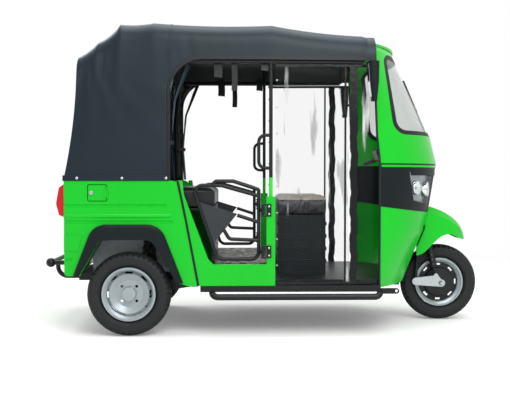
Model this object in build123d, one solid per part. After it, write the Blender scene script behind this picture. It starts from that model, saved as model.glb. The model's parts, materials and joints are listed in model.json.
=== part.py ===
"""Passenger auto rickshaw: three wheels, a soft canopy, tube half doors and a rear engine.

Frame: X forward, Y to the left, Z up from the ground, millimetres.
Places at the back are measured from the rear axle and places at the front from the front axle.
"""
import os
from math import cos, hypot, radians, sin, sqrt

from build123d import *

# Overall layout
WHEEL_BASE = 1990
REAR_OVERHANG = 510
TYRE_R = 250
BODY_HALF = 620
WALL = 30
SHEET = 12
RUN = 0.3
LID_GAP = 5

NOSE_TIP_X = (WHEEL_BASE + TYRE_R + REAR_OVERHANG) / 2
REAR_AXLE = REAR_OVERHANG - NOSE_TIP_X
FRONT_AXLE = NOSE_TIP_X - TYRE_R
INNER_HALF = BODY_HALF - WALL

# Wheels
REAR_TRACK_HALF = BODY_HALF - 55
REAR_TYRE_W = 135
FRONT_TYRE_W = 110
RIM_R = 160
STUB_R = 17
AXLE_R = 10

# Body heights
RAIL_LOW = 262
RAIL_TOP = 300
DRIVER_FLOOR = 330
PASSENGER_FLOOR = 427
BELT = 926
SEAT_DECK = 760
POST_TOP = 831

# Body stations along X
REAR_WALL = REAR_AXLE - 378
SEAT_FRONT = REAR_AXLE + 508
POST_BACK = REAR_AXLE + 820
POST_FRONT = REAR_AXLE + 871
COWL_BACK = FRONT_AXLE - 488
BULKHEAD = FRONT_AXLE - 313

# Chassis rails
SILL_OUT = BODY_HALF - 8
SILL_IN = SILL_OUT - 52
ARM_Y = (REAR_TRACK_HALF - 185, REAR_TRACK_HALF - 125)
REAR_RAIL = (ARM_Y[0] - 110, ARM_Y[0] - 70)
REAR_RAIL_TOP = 350
FRONT_RAIL = (240, 280)
MEMBER = 40
TOWER_TOP = 640
TOWER_T = 30

# Steering: the axis leans back and crosses the fork crown
RAKE = 24
CROWN = (FRONT_AXLE - 125, 520)
STEM_R = 20
HEAD_R = 28
HEAD_SPAN = (45, 200)
BAR_UP = 607
BAR_R = 11
BAR_HALF = 330

# Soft top
CLOTH = 8
CANOPY_R = 110
CANOPY_FRONT = FRONT_AXLE - 514
OPENING_BACK = REAR_AXLE + 241
OPENING_TOP = 1649
OPENING_R = 200
BOW_R = 13
BOW_DROP = 36
RAIL_Z = 1630
RAIL_R = 12
RAIL_BEND = 600

# Doors
DOOR_R = 11
DOOR_Y = BODY_HALF - 17
HINGE_X = POST_BACK - 23
HINGE_Y = BODY_HALF + 12
HINGE_PIN_R = 6


def block(x, y, z):
    """Box between (low, high) limits along X, Y and Z."""
    size = [high - low for low, high in (x, y, z)]
    middle = [(high + low) / 2 for low, high in (x, y, z)]
    return Pos(*middle) * Box(*size)


def side_prism(points, low, high):
    """Side profile of (x, z) points drawn across from y = low to y = high."""
    face = make_face(Polyline(*[(x, low, z) for x, z in points], close=True))
    return extrude(face, amount=high - low, dir=(0, 1, 0))


def rounded_prism(corners, low, high):
    """Side profile of (x, z, corner radius) rows drawn across from y = low to y = high."""
    face = make_face(Polyline(*[(x, low, z) for x, z, _ in corners], close=True))
    for x, z, radius in corners:
        if radius:
            tip = face.vertices().sort_by_distance((x, low, z))[0]
            face = face.face().fillet_2d(radius, [tip])
    return extrude(face, amount=high - low, dir=(0, 1, 0))


def plan_prism(points, low, high):
    """Plan profile of (x, y) points drawn up from z = low to z = high."""
    face = make_face(Polyline(*[(x, y, low) for x, y in points], close=True))
    return extrude(face, amount=high - low, dir=(0, 0, 1))


def front_prism(points, low, high):
    """Front profile of (y, z) points drawn along from x = low to x = high."""
    face = make_face(Polyline(*[(low, y, z) for y, z in points], close=True))
    return extrude(face, amount=high - low, dir=(1, 0, 0))


def rod(start, end, radius):
    """Round bar between two points."""
    line = Vector(*end) - Vector(*start)
    base = Align.CENTER, Align.CENTER, Align.MIN
    return Plane(origin=start, z_dir=line) * Cylinder(radius, line.length, align=base)


def ball(centre, radius):
    """Sphere at a point."""
    return Pos(*centre) * Sphere(radius)


def bent_tube(points, radius, bend):
    """Round tube along straight runs joined by arcs of one bend radius."""
    path = FilletPolyline(*points, radius=bend)
    section = Plane(origin=path @ 0, z_dir=path % 0) * Circle(radius)
    return sweep(section, path=path)


def turned(points, y):
    """Solid of revolution about the line along Y: (radius, offset from y) points."""
    face = make_face(Polyline(*[(r, y + w, 0) for r, w in points], close=True))
    return revolve(face, axis=Axis.Y)


def mirrored(shape):
    """The same shape on the other side of the vehicle."""
    return mirror(shape, about=Plane.XZ)


def both_sides(shape):
    """A shape and its mirror image as one node."""
    return shape + mirrored(shape)


def steer_point(along, ahead=0, y=0):
    """Point beside the steering axis: up along it, ahead square to it."""
    lean = radians(RAKE)
    x = CROWN[0] - along * sin(lean) + ahead * cos(lean)
    z = CROWN[1] + along * cos(lean) + ahead * sin(lean)
    return x, y, z


nodes = {}


# Side outline of the rear body: the trim line where it meets the door-side panel
TRIM_LINE = [(REAR_AXLE + 293, BELT), (REAR_AXLE + 342, 685), (REAR_AXLE + 414, RAIL_TOP)]
ARCH = [(-289, 364, 0), (-168, 575, 60), (140, 575, 70), (289, 318, 0)]
FLARE_OUT = [(-323, 364, 0), (-205, 666, 110), (190, 666, 120), (324, 318, 0)]
FLARE_DEPTH = 35
FLARE_EDGE = 16
REAR_BOTTOM = 360
LIP_BOTTOM = 318
SHOULDER_R = 55
RIB_RISE = 5
GROOVES = [(BELT - 150, REAR_AXLE + 225, 9), (BELT - 246, REAR_AXLE + 265, 9), (458, REAR_AXLE - 330, 7)]
RIB = (BELT - 211, REAR_AXLE + 250, 12)
BOSS = [(REAR_WALL, 510), (REAR_WALL + 83, 510), (REAR_WALL + 108, 602), (REAR_WALL, 602)]


def from_rear_axle(corners):
    """Side corners measured from the rear axle, moved to their place."""
    return [(REAR_AXLE + x, z, radius) for x, z, radius in corners]


def arch_void(low, high):
    """Wheel arch opening, run on down past the body's lower edge."""
    back, front = ARCH[0][0], ARCH[-1][0]
    return rounded_prism(from_rear_axle([(back, 0, 0), *ARCH, (front, 0, 0)]), low, high)


def pressed_line(z, front_x, half, depth):
    """Straight pressed line along the rear side: a trapezoid section run forward from the rear wall."""
    out = BODY_HALF + depth
    section = [(BODY_HALF, z + half), (out, z + half / 2), (out, z - half / 2), (BODY_HALF, z - half)]
    return front_prism(section, REAR_WALL, front_x)


def chassis_rails():
    """Sill rails, rear and front rails, cross members and the rear shock towers, welded as one."""
    tail = REAR_WALL + WALL
    cross_x = SEAT_FRONT - MEMBER - 3
    half = block((cross_x - MEMBER, COWL_BACK), (SILL_IN, SILL_OUT), (RAIL_LOW, RAIL_TOP))
    half += block((tail, cross_x), REAR_RAIL, (RAIL_TOP, REAR_RAIL_TOP))
    half += block((COWL_BACK - 60, BULKHEAD), FRONT_RAIL, (RAIL_LOW, RAIL_TOP))
    tower_x = REAR_AXLE + 75, REAR_AXLE + 135
    half += block(tower_x, REAR_RAIL, (REAR_RAIL_TOP, TOWER_TOP))
    half += block(tower_x, (REAR_RAIL[0], ARM_Y[1]), (TOWER_TOP - TOWER_T, TOWER_TOP))
    frame = both_sides(half)
    for x, reach, low, high in (
        (cross_x - MEMBER, SILL_IN, RAIL_LOW, REAR_RAIL_TOP),
        (POST_BACK, SILL_IN, RAIL_LOW, RAIL_TOP),
        (COWL_BACK - 60, SILL_IN, RAIL_LOW, RAIL_TOP),
        (tail, REAR_RAIL[1], RAIL_TOP, REAR_RAIL_TOP),
        (BULKHEAD - MEMBER, FRONT_RAIL[1], RAIL_LOW, RAIL_TOP),
        (ARM_PIVOT_X, ARM_Y[1] + 20, RAIL_LOW + 13, REAR_RAIL_TOP),
    ):
        frame += block((x, x + MEMBER), (-reach, reach), (low, high))
    return frame


ARM_PIVOT_X = REAR_AXLE + 365
nodes["frame"] = chassis_rails()

# Tie-down lugs bolted to the front ends of the sill rails
LUG_REACH = 117
LUG_T = 8
LUG_HOLE_R = 8.5
LUG_Z = (246, 280)


def tie_down_lug():
    """Plate ahead of the sill rail, rounded at its front end round a drilled hole."""
    middle = sum(LUG_Z) / 2
    radius = (LUG_Z[1] - LUG_Z[0]) / 2
    y = (SILL_IN + SILL_OUT - LUG_T) / 2, (SILL_IN + SILL_OUT + LUG_T) / 2
    eye = COWL_BACK + LUG_REACH - radius
    plate = block((COWL_BACK, eye), y, LUG_Z) + rod((eye, y[0], middle), (eye, y[1], middle), radius)
    return plate - rod((eye, y[0], middle), (eye, y[1], middle), LUG_HOLE_R)


nodes["tie_down_lugs"] = both_sides(tie_down_lug())


def side_panel():
    """Door-side panel: narrow upright beside the bench, sill below the doorway, and the B-post."""
    doorway = [(-534, 836), (-393, 460)]
    back = [(x + 865 + REAR_AXLE, z) for x, z in doorway]
    outline = TRIM_LINE + [
        (POST_FRONT, RAIL_TOP), (POST_FRONT, POST_TOP), (POST_BACK, POST_TOP),
        (POST_BACK, PASSENGER_FLOOR), (back[1][0] + 30, PASSENGER_FLOOR), back[1], back[0],
        (back[0][0] - 14, BELT),
    ]
    return side_prism(outline, INNER_HALF, BODY_HALF)


nodes["side_panels"] = both_sides(side_panel())


def rear_side():
    """Rear body side: wheel arch cut out, upper front corner rounded, grooves, rib and boss pressed in."""
    foot = TRIM_LINE[2][0]
    outline = [(REAR_WALL, REAR_BOTTOM, 20), (REAR_WALL, BELT, 0)]
    outline += [(*TRIM_LINE[0], SHOULDER_R), (*TRIM_LINE[1], 0), (foot, RAIL_TOP, 0)]
    outline += [(foot - 60, RAIL_TOP, 20), (REAR_AXLE + ARCH[-1][0], LIP_BOTTOM, 0)]
    outline += from_rear_axle(ARCH)[-2:0:-1] + [(REAR_AXLE + ARCH[0][0], REAR_BOTTOM, 0)]
    side = rounded_prism(outline, INNER_HALF, BODY_HALF)
    for groove in GROOVES:
        side -= pressed_line(*groove, -RIB_RISE)
    return side + pressed_line(*RIB, RIB_RISE) + side_prism(BOSS, BODY_HALF, BODY_HALF + RIB_RISE)


# Fuel flap on the right side, hinged at its front edge
FLAP_X = (REAR_AXLE - 240, REAR_AXLE - 123)
FLAP_Z = (BELT - 124, BELT - 22)
FLAP_CORNER_R = 12
FLAP_T = 6
FLAP_PIN = (FLAP_X[1] + 2, -BODY_HALF - 5)
FLAP_BARREL_R = 4
FLAP_PIN_R = 2
KNUCKLE = 10


def flap_knuckles(middle, reach):
    """Two fixed knuckles on the body and the pin between them."""
    x, y = FLAP_PIN
    low, high = middle - reach, middle + reach
    pin = rod((x, y, low), (x, y, high), FLAP_PIN_R)
    for z in (low - KNUCKLE, high):
        pin += block((x - 4, x + 6), (y - 4, -BODY_HALF), (z, z + KNUCKLE))
    return pin


nodes["rear_side_left"] = rear_side()
flap_middle = sum(FLAP_Z) / 2
flap_reach = 26
pocket = block(FLAP_X, (-BODY_HALF, -BODY_HALF + 20), FLAP_Z)
pocket = fillet(pocket.edges().filter_by(Axis.Y), FLAP_CORNER_R)
nodes["rear_side_right"] = mirrored(rear_side()) - pocket + flap_knuckles(flap_middle, flap_reach)


def fuel_flap():
    """Flap plate flush with the body, with a strap to its hinge barrel."""
    x, y = FLAP_PIN
    plate_x = FLAP_X[0] + LID_GAP, FLAP_X[1] - LID_GAP
    plate_z = FLAP_Z[0] + LID_GAP, FLAP_Z[1] - LID_GAP
    plate = block(plate_x, (-BODY_HALF, -BODY_HALF + FLAP_T), plate_z)
    plate = fillet(plate.edges().filter_by(Axis.Y), FLAP_CORNER_R - LID_GAP)
    half = flap_reach - RUN
    span = flap_middle - half, flap_middle + half
    plate += block((plate_x[1] - 12, FLAP_X[1] - 1), (y, -BODY_HALF), span)
    plate += rod((x, y, span[0]), (x, y, span[1]), FLAP_BARREL_R)
    lock = plate_x[0] + 18, -BODY_HALF, flap_middle
    plate += rod(lock, (lock[0], lock[1] - 5, lock[2]), 14)
    return plate - rod((x, y, span[0]), (x, y, span[1]), FLAP_PIN_R + RUN)


nodes["fuel_flap"] = fuel_flap()

# Rear panel and its engine lid, hinged along its top
LID_HALF = INNER_HALF - 160
LID_Z = (450, BELT - 46)
LID_T = 18
LID_PIN = (REAR_WALL - 9, LID_Z[1] + 6)
LID_PIN_R = 3
LID_BARREL_R = 7
LID_BARRELS = ((-300, -240), (240, 300))


def rear_panel():
    """Rear wall with the engine opening, two pairs of knuckles and their pins."""
    wall = block((REAR_WALL, REAR_WALL + WALL), (-INNER_HALF, INNER_HALF), (REAR_BOTTOM, BELT))
    wall -= block((REAR_WALL, REAR_WALL + WALL), (-LID_HALF, LID_HALF), LID_Z)
    x, z = LID_PIN
    for low, high in LID_BARRELS:
        wall += rod((x, low, z), (x, high, z), LID_PIN_R)
        for y in (low - KNUCKLE, high):
            wall += block((x - 7, REAR_WALL), (y, y + KNUCKLE), (z - 6, z + 7))
    return wall


def engine_lid():
    """Engine lid with louvre slots and two hinge barrels on straps."""
    half = LID_HALF - LID_GAP
    low, high = LID_Z[0] + LID_GAP, LID_Z[1] - LID_GAP
    lid = block((REAR_WALL, REAR_WALL + LID_T), (-half, half), (low, high))
    for z in range(int(low) + 60, int(low) + 200, 35):
        lid -= block((REAR_WALL, REAR_WALL + LID_T), (-half + 90, half - 90), (z, z + 12))
    x, z = LID_PIN
    for a, b in LID_BARRELS:
        lid += block((x - LID_BARREL_R, REAR_WALL), (a + RUN, b - RUN), (high - 40, high))
        lid += block((x - LID_BARREL_R, x), (a + RUN, b - RUN), (high - 40, z))
        lid += rod((x, a + RUN, z), (x, b - RUN, z), LID_BARREL_R)
        lid -= rod((x, a + RUN, z), (x, b - RUN, z), LID_PIN_R + RUN)
    return lid


nodes["rear_panel"] = rear_panel()
nodes["engine_lid"] = engine_lid()


def wheel_flares():
    """Black mouldings round the rear wheel arches, their outer edge rounded over."""
    outer = rounded_prism(from_rear_axle(FLARE_OUT), BODY_HALF, BODY_HALF + FLARE_DEPTH)
    rim_edges = outer.faces().sort_by(Axis.Y)[-1].edges().sort_by(Axis.Z)[1:]
    outer = chamfer(rim_edges, FLARE_EDGE)
    return both_sides(outer - arch_void(BODY_HALF, BODY_HALF + FLARE_DEPTH))


LINER_IN = BODY_HALF - 140
LINER_T = 6


def wheel_liners():
    """Arched liners that close the wheel arches towards the cabin."""
    grown = [(x + (LINER_T if x > 0 else -LINER_T), z + LINER_T * (radius > 0), radius and radius + LINER_T)
             for x, z, radius in ARCH]
    return both_sides(rounded_prism(from_rear_axle(grown), LINER_IN, INNER_HALF) - arch_void(LINER_IN, INNER_HALF))


nodes["wheel_flares"] = wheel_flares()
nodes["wheel_liners"] = wheel_liners()


def tail_lamps():
    """Red lamps that wrap out from the rear corners."""
    profile = [(0, -21, 0), (-30, -42, 14), (-47, -136, 30), (-30, -204, 14), (0, -216, 0)]
    outline = [(REAR_WALL + x, BELT + z, radius) for x, z, radius in profile]
    return both_sides(rounded_prism(outline, BODY_HALF - 90, BODY_HALF - 8))


nodes["tail_lamps"] = tail_lamps()

# Rear bumper: a cross tube with ball ends on two stays from the rear rails
BUMPER_R = 14
BUMPER_BALL_R = 28
BUMPER_Z = 430
BUMPER_HALF = 500


def rear_bumper():
    x = BUMPER_BALL_R - NOSE_TIP_X
    stay_y = sum(REAR_RAIL) / 2
    stay_z = (RAIL_TOP + REAR_RAIL_TOP) / 2
    bumper = rod((x, -BUMPER_HALF, BUMPER_Z), (x, BUMPER_HALF, BUMPER_Z), BUMPER_R)
    for side in (-1, 1):
        bumper += ball((x, side * BUMPER_HALF, BUMPER_Z), BUMPER_BALL_R)
        end = side * BUMPER_HALF
        bumper += rod((x, end, BUMPER_Z), (REAR_WALL, end, BUMPER_Z), BUMPER_R)
        y = side * stay_y
        run = [(x, y, BUMPER_Z), (x, y, stay_z), (REAR_WALL + WALL, y, stay_z)]
        bumper += bent_tube(run, BUMPER_R, 60)
    return bumper


nodes["rear_bumper"] = rear_bumper()

# Side steps
STEP_R = 19
STEP_Y = BODY_HALF + 25
STEP_Z = 236
STEP_X = (REAR_AXLE + 496, FRONT_AXLE - 463)


def side_steps():
    """Step tubes along the sills, their ends bent up under the sill rails."""
    foot_y = (SILL_IN + SILL_OUT) / 2
    top = RAIL_LOW + 40
    run = [(STEP_X[0], foot_y, top), (STEP_X[0], STEP_Y, STEP_Z)]
    run += [(STEP_X[1] - 30, STEP_Y, STEP_Z), (STEP_X[1] - 30, foot_y, top)]
    tube = bent_tube(run, STEP_R, 36)
    above = block((STEP_X[0] - 90, STEP_X[1] + 90), (0, STEP_Y + 90), (RAIL_LOW, top + 90))
    return both_sides(tube - above)


nodes["side_steps"] = side_steps()


def floor_pan():
    """Passenger floor, riser and the lower driver floor, which narrows into the nose."""
    passenger = [
        (SEAT_FRONT, PASSENGER_FLOOR), (POST_FRONT, PASSENGER_FLOOR), (POST_FRONT, DRIVER_FLOOR),
        (POST_FRONT - SHEET, DRIVER_FLOOR), (POST_FRONT - SHEET, PASSENGER_FLOOR - SHEET),
        (SEAT_FRONT, PASSENGER_FLOOR - SHEET),
    ]
    floor = side_prism(passenger, -INNER_HALF, INNER_HALF)
    floor += block((POST_FRONT - SHEET, COWL_BACK), (-SILL_IN, SILL_IN), (RAIL_TOP, DRIVER_FLOOR))
    toe = block((COWL_BACK, BULKHEAD), (-SILL_IN, SILL_IN), (RAIL_TOP, DRIVER_FLOOR))
    return floor + (toe & nose_solid(NOSE_T))


# Nose sections: height, X of the rear edge, half width there, X of the front on the centre line
NOSE_HALF = BODY_HALF - 40
NOSE = [
    (284, COWL_BACK, NOSE_HALF, FRONT_AXLE - 248),
    (608, COWL_BACK, NOSE_HALF, FRONT_AXLE - 103),
    (1035, COWL_BACK, NOSE_HALF, FRONT_AXLE - 33),
    (1200, COWL_BACK - 17, NOSE_HALF - 5, FRONT_AXLE - 73),
    (1705, COWL_BACK - 37, NOSE_HALF - 25, FRONT_AXLE - 322),
    (1752, COWL_BACK - 37, NOSE_HALF - 65, FRONT_AXLE - 340),
]
NOSE_T = 12
BAND_BACK_Z = 770
BAND_FRONT_Z = 710
BAND_TOP = 1030
WELL_HALF = 262
WELL_TOP = 640
SCREEN_LOW = (COWL_BACK + 93, 1206)
SCREEN_HIGH = (COWL_BACK + 28, 1703)
SCREEN_LOW_R = 95
SCREEN_HIGH_R = 55
SEAL_W = 26
LIP_T = 14
LIP_OUT = 16
GLASS_T = 6
FAR = 900


def nose_section(height, rear_x, half, front_x, inset):
    """Plan section: an arc across the front, closed by a straight line behind."""
    sag = front_x - rear_x
    radius = (half**2 + sag**2) / (2 * sag)
    middle = front_x - radius
    back = rear_x - (60 if inset else 0)
    reach = radius - inset
    side = sqrt(reach**2 - (back - middle) ** 2)
    arc = ThreePointArc((back, -side, height), (middle + reach, 0, height), (back, side, height))
    return make_face(arc + Line((back, side, height), (back, -side, height)))


def nose_solid(inset):
    """The whole nose from sill to roof header, drawn in from the outside by inset."""
    return loft([nose_section(*row, inset) for row in NOSE], ruled=True)


nose_outer = nose_solid(0)
nose_inner = nose_solid(NOSE_T)
nose_shell = nose_outer - nose_inner


def band_line(x):
    """Height of the lower edge of the black lamp band at a station along X."""
    share = (x - COWL_BACK) / (FRONT_AXLE - 33 - COWL_BACK)
    return BAND_BACK_Z + (BAND_FRONT_Z - BAND_BACK_Z) * share


def zone(low_back, low_front, high_back, high_front, y=(-FAR, FAR)):
    """Slab of the nose between two straight lines in side view."""
    back, front = COWL_BACK - 200, FRONT_AXLE + 100
    points = [(back, low_back), (front, low_front), (front, high_front), (back, high_back)]
    return side_prism(points, *y)


band_edge = band_line(COWL_BACK - 200), band_line(FRONT_AXLE + 100)
well = block((BULKHEAD, FRONT_AXLE + 100), (-WELL_HALF, WELL_HALF), (200, WELL_TOP))
nodes["cowl_lower"] = (nose_shell & zone(200, 200, *band_edge)) - well

# Headlamps set into the band, outlined in side view
LAMP = [(-296, 985), (-115, 985), (-60, 955), (-80, 762), (-255, 800)]
LAMP_IN = 165
LAMP_T = 45
lamp_outline = [(FRONT_AXLE + x, z) for x, z in LAMP]
lamp_zone = both_sides(side_prism(lamp_outline, LAMP_IN, FAR))
nodes["headlamps"] = (nose_outer - nose_solid(LAMP_T)) & lamp_zone
nodes["cowl_band"] = (nose_shell & zone(*band_edge, BAND_TOP, BAND_TOP)) - lamp_zone


def screen_zone(inset):
    """Windscreen outline in side view, drawn in by inset."""
    low, high = SCREEN_LOW, SCREEN_HIGH
    front = FRONT_AXLE + 100
    corners = [
        (low[0] + inset, low[1] + inset, SCREEN_LOW_R - inset), (front, low[1] + inset, 0),
        (front, high[1] - inset, 0), (high[0] + inset, high[1] - inset, SCREEN_HIGH_R - inset),
    ]
    return rounded_prism(corners, -FAR, FAR)


def roof_header():
    """Plate that closes the top of the nose, with a lip that stands out ahead of the canopy."""
    height, rear_x, half, front_x = NOSE[-1]
    ahead = block((CANOPY_FRONT + 2, FRONT_AXLE), (-FAR, FAR), (height - LIP_T, height))
    plate = nose_outer & block((0, FRONT_AXLE), (-FAR, FAR), (height - LIP_T, height))
    brow = nose_section(height - LIP_T, rear_x, half + LIP_OUT, front_x + LIP_OUT, 0)
    return plate + (extrude(brow, amount=LIP_T, dir=(0, 0, 1)) & ahead)


nodes["cowl_upper"] = (nose_shell & zone(BAND_TOP, BAND_TOP, 1800, 1800)) - screen_zone(0) + roof_header()
nodes["screen_seal"] = (nose_shell & screen_zone(0)) - screen_zone(SEAL_W)
glass_shell = nose_solid(NOSE_T / 2 - GLASS_T / 2) - nose_solid(NOSE_T / 2 + GLASS_T / 2)
nodes["windscreen"] = glass_shell & screen_zone(SEAL_W)


def front_bulkhead():
    """Toe board, shelf over the wheel and the steering head that carries the fork stem."""
    inside = nose_inner - block((COWL_BACK - FAR, COWL_BACK), (-FAR, FAR), (0, 2000))
    board = block((BULKHEAD, BULKHEAD + SHEET), (-SILL_IN, SILL_IN), (RAIL_LOW + 22, 692)) & inside
    shelf = block((BULKHEAD, FRONT_AXLE), (-SILL_IN, SILL_IN), (692 - SHEET, 692)) & inside
    head = rod(steer_point(HEAD_SPAN[0]), steer_point(HEAD_SPAN[1]), HEAD_R)
    bore = rod(steer_point(HEAD_SPAN[0] - 20), steer_point(HEAD_SPAN[1] + 60), STEM_R + RUN)
    return board + shelf + head - bore


nodes["floor_pan"] = floor_pan()
nodes["front_bulkhead"] = front_bulkhead()


# Mudguard sections: X from the front axle, half widths at the top, crease and hem, heights of the three
BEAK = [
    (-180, 100, 150, 178, 772, 725, 440),
    (-114, 100, 148, 175, 762, 712, 472),
    (-14, 88, 132, 158, 732, 690, 560),
    (80, 62, 98, 120, 680, 646, 566),
    (166, 14, 26, 36, 566, 560, 550),
]
BEAK_WALL = 5


def beak_section(x, top, crease, hem, top_z, crease_z, hem_z, wall, drop):
    """Section of the beak across the vehicle: flat top, creased shoulders, sides down to the hem."""
    half = [(top - wall, top_z - wall), (crease - wall, crease_z - wall), (hem - wall, hem_z - drop)]
    points = half + [(-y, z) for y, z in half[::-1]]
    return make_face(Polyline(*[(FRONT_AXLE + x, y, z) for y, z in points], close=True))


def front_mudguard():
    """Beak over the front wheel, fixed to the nose: a creased hood open below."""
    outer = loft([beak_section(*row, 0, 0) for row in BEAK])
    inner = loft([beak_section(x - BEAK_WALL, *row, BEAK_WALL, 200) for x, *row in BEAK])
    hood = outer - inner - nose_outer
    return hood.solids().sort_by(SortBy.VOLUME)[-1]


nodes["front_mudguard"] = front_mudguard()

# Dashboard inside the nose, clear of the handlebar's sweep
DASH_BACK = FRONT_AXLE - 160
nodes["dashboard"] = block((DASH_BACK, FRONT_AXLE), (-200, 200), (1060, 1180)) & nose_inner


MIRROR_Z = (1392, 1620)


def mirrors():
    """Door mirrors on arms from the screen pillars."""
    x, y = COWL_BACK - 62, BODY_HALF + 52
    foot = Pos(x + 8, y, MIRROR_Z[0]) * RectangleRounded(30, 70, 14)
    waist = Pos(x + 4, y, sum(MIRROR_Z) / 2) * RectangleRounded(54, 112, 22)
    crown = Pos(x, y, MIRROR_Z[1]) * RectangleRounded(64, 132, 26)
    housing = loft([foot, waist, crown], ruled=True)
    arm = rod((x + 20, y - 40, 1480), (x + 50, BODY_HALF - 100, 1470), 9) - nose_outer
    return both_sides(housing + arm.solids().sort_by(Axis.Y)[-1])


nodes["mirrors"] = mirrors()

# Wiper: pivot below the screen, arm and blade up its centre line
WIPER = [(FRONT_AXLE - 60, 1168), (FRONT_AXLE - 150, 1381), (FRONT_AXLE - 240, 1588)]


def wiper():
    """Wiper at rest: boss on the cowl, arm, and a blade that lies along the glass."""
    pivot, elbow, tip = [(x, 0, z) for x, z in WIPER]
    arm = rod((pivot[0] - 30, 0, pivot[2] - 12), (pivot[0] + 6, 0, pivot[2] + 2), 15)
    arm += rod(pivot, elbow, 6) + rod(elbow, tip, 7)
    return arm - nose_outer


nodes["wiper"] = wiper()

# Canopy sections: X of the foot, X and Z of the top, half width at the foot
CANOPY = [
    (REAR_AXLE - 380, REAR_AXLE - 298, 1663, BODY_HALF),
    (REAR_AXLE - 235, REAR_AXLE - 179, 1751, BODY_HALF),
    (REAR_AXLE - 85, REAR_AXLE - 49, 1858, BODY_HALF),
    (REAR_AXLE + 150, REAR_AXLE + 150, 1867, BODY_HALF),
    (POST_BACK + 31, POST_BACK + 31, 1855, BODY_HALF),
    (CANOPY_FRONT - 78, CANOPY_FRONT - 78, 1798, BODY_HALF - 30),
    (CANOPY_FRONT, CANOPY_FRONT, 1780, BODY_HALF - 40),
]


def canopy_section(foot_x, top_x, top_z, half, inset, below):
    """Section across the canopy in a leaning plane: straight sides and rounded top corners."""
    rise = hypot(top_x - foot_x, top_z - BELT)
    lean = (top_x - foot_x) / rise
    climb = (top_z - BELT) / rise
    side = half - inset
    top = rise - inset
    radius = CANOPY_R - inset
    knee = radius * (1 - sqrt(0.5))

    def at(y, up):
        return foot_x + lean * up, y, BELT + climb * up

    edges = [
        Line(at(side, -below), at(side, top - radius)),
        ThreePointArc(at(side, top - radius), at(side - knee, top - knee), at(side - radius, top)),
        Line(at(side - radius, top), at(radius - side, top)),
        ThreePointArc(at(radius - side, top), at(knee - side, top - knee), at(-side, top - radius)),
        Line(at(-side, top - radius), at(-side, -below)),
        Line(at(-side, -below), at(side, -below)),
    ]
    return make_face(edges)


def canopy_solid(inset, below):
    """Filled canopy drawn in by inset; a drawn-in one runs on past the open front and bottom."""
    rows = [list(row) for row in CANOPY]
    if inset:
        rows[0][0] += inset
        rows[0][1] += inset
        rows.append([2 * last - before for last, before in zip(CANOPY[-1], CANOPY[-2])])
    return loft([canopy_section(*row, inset, below) for row in rows], ruled=True)


def side_opening():
    """Doorway outline through the canopy: square at the front, rounded at the upper rear corner."""
    front = CANOPY_FRONT + 100
    low = BELT - 100
    path = FilletPolyline(
        (OPENING_BACK, low + 1), (OPENING_BACK, OPENING_TOP), (front, OPENING_TOP), radius=OPENING_R
    )
    path = Polyline((front, OPENING_TOP), (front, low), (OPENING_BACK, low), (OPENING_BACK, low + 1)) + path
    face = make_face(Plane.XZ * path)
    return extrude(face, amount=FAR, both=True)


REAR_WINDOW_HALF = 330
REAR_WINDOW_Z = (1250, 1520)
canopy_shell = canopy_solid(0, 0) - canopy_solid(CLOTH, 60)
window_hole = block((REAR_WALL - 60, REAR_WALL + 200), (-REAR_WINDOW_HALF, REAR_WINDOW_HALF), REAR_WINDOW_Z)
nodes["canopy"] = canopy_shell - side_opening() - window_hole
nodes["rear_window"] = canopy_shell & window_hole


PILLAR_R = 11
HOLD_R = 10
ROOF_CLEAR = CLOTH + BOW_R + 2
PILLAR_X = (POST_BACK + POST_FRONT) / 2
PILLAR_Y = BODY_HALF - ROOF_CLEAR


def roof_bows():
    """Five bent cross bows; the rear three stand on the belt and the front two on the roof rails."""
    bows = Part()
    for row in (1, 2, 3, 4, 5):
        foot_x, top_x, top_z, half = CANOPY[row]
        w = half - ROOF_CLEAR
        top = top_z - BOW_DROP
        foot = BELT if row < 4 else RAIL_Z
        run = [(foot_x, w, foot), (top_x, w, top), (top_x, -w, top), (foot_x, -w, foot)]
        bows += bent_tube(run, BOW_R, CANOPY_R)
    return bows - block((REAR_WALL, POST_BACK), (-BODY_HALF, BODY_HALF), (BELT - 60, BELT))


def roof_rails():
    """Side rails from the third bow to the front one, notched for the bows and the pillars."""
    start = CANOPY[3][0], CANOPY[4][0], CANOPY[5][0]
    halves = [CANOPY[row][3] - ROOF_CLEAR for row in (3, 4, 5)]
    rail = bent_tube([(x, w, RAIL_Z) for x, w in zip(start, halves)], RAIL_R, RAIL_BEND)
    return both_sides(rail) - nodes["roof_bows"] - nodes["b_pillars"]


nodes["roof_bows"] = roof_bows()
pillar = rod((PILLAR_X, PILLAR_Y, POST_TOP), (PILLAR_X, PILLAR_Y, RAIL_Z), PILLAR_R)
nodes["b_pillars"] = both_sides(pillar)
nodes["roof_rails"] = roof_rails()


def hand_grips():
    """Padded D grips behind the B-pillars."""
    x, y = PILLAR_X, PILLAR_Y
    run = [(x, y, 1000), (x - 72, y, 1000), (x - 72, y, 1195), (x, y, 1195)]
    return both_sides(bent_tube(run, HOLD_R, 40) - pillar)


nodes["hand_grips"] = hand_grips()

# Clear curtains over the driver's doorways, and the gathered ones behind the passenger doorways
FILM = 3
CURTAIN_TOP = RAIL_Z - RAIL_R - RUN


def driver_curtain():
    """Clear curtain from the B-post to the cowl, a flat sheet slightly turned in at the front."""
    back, front = POST_FRONT + RUN, COWL_BACK - 40
    y_back, y_front = INNER_HALF + 14, NOSE_HALF - 10
    plan = [(back, y_back), (front, y_front), (front, y_front + FILM), (back, y_back + FILM)]
    return plan_prism(plan, RAIL_TOP + RUN, CURTAIN_TOP)


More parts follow.
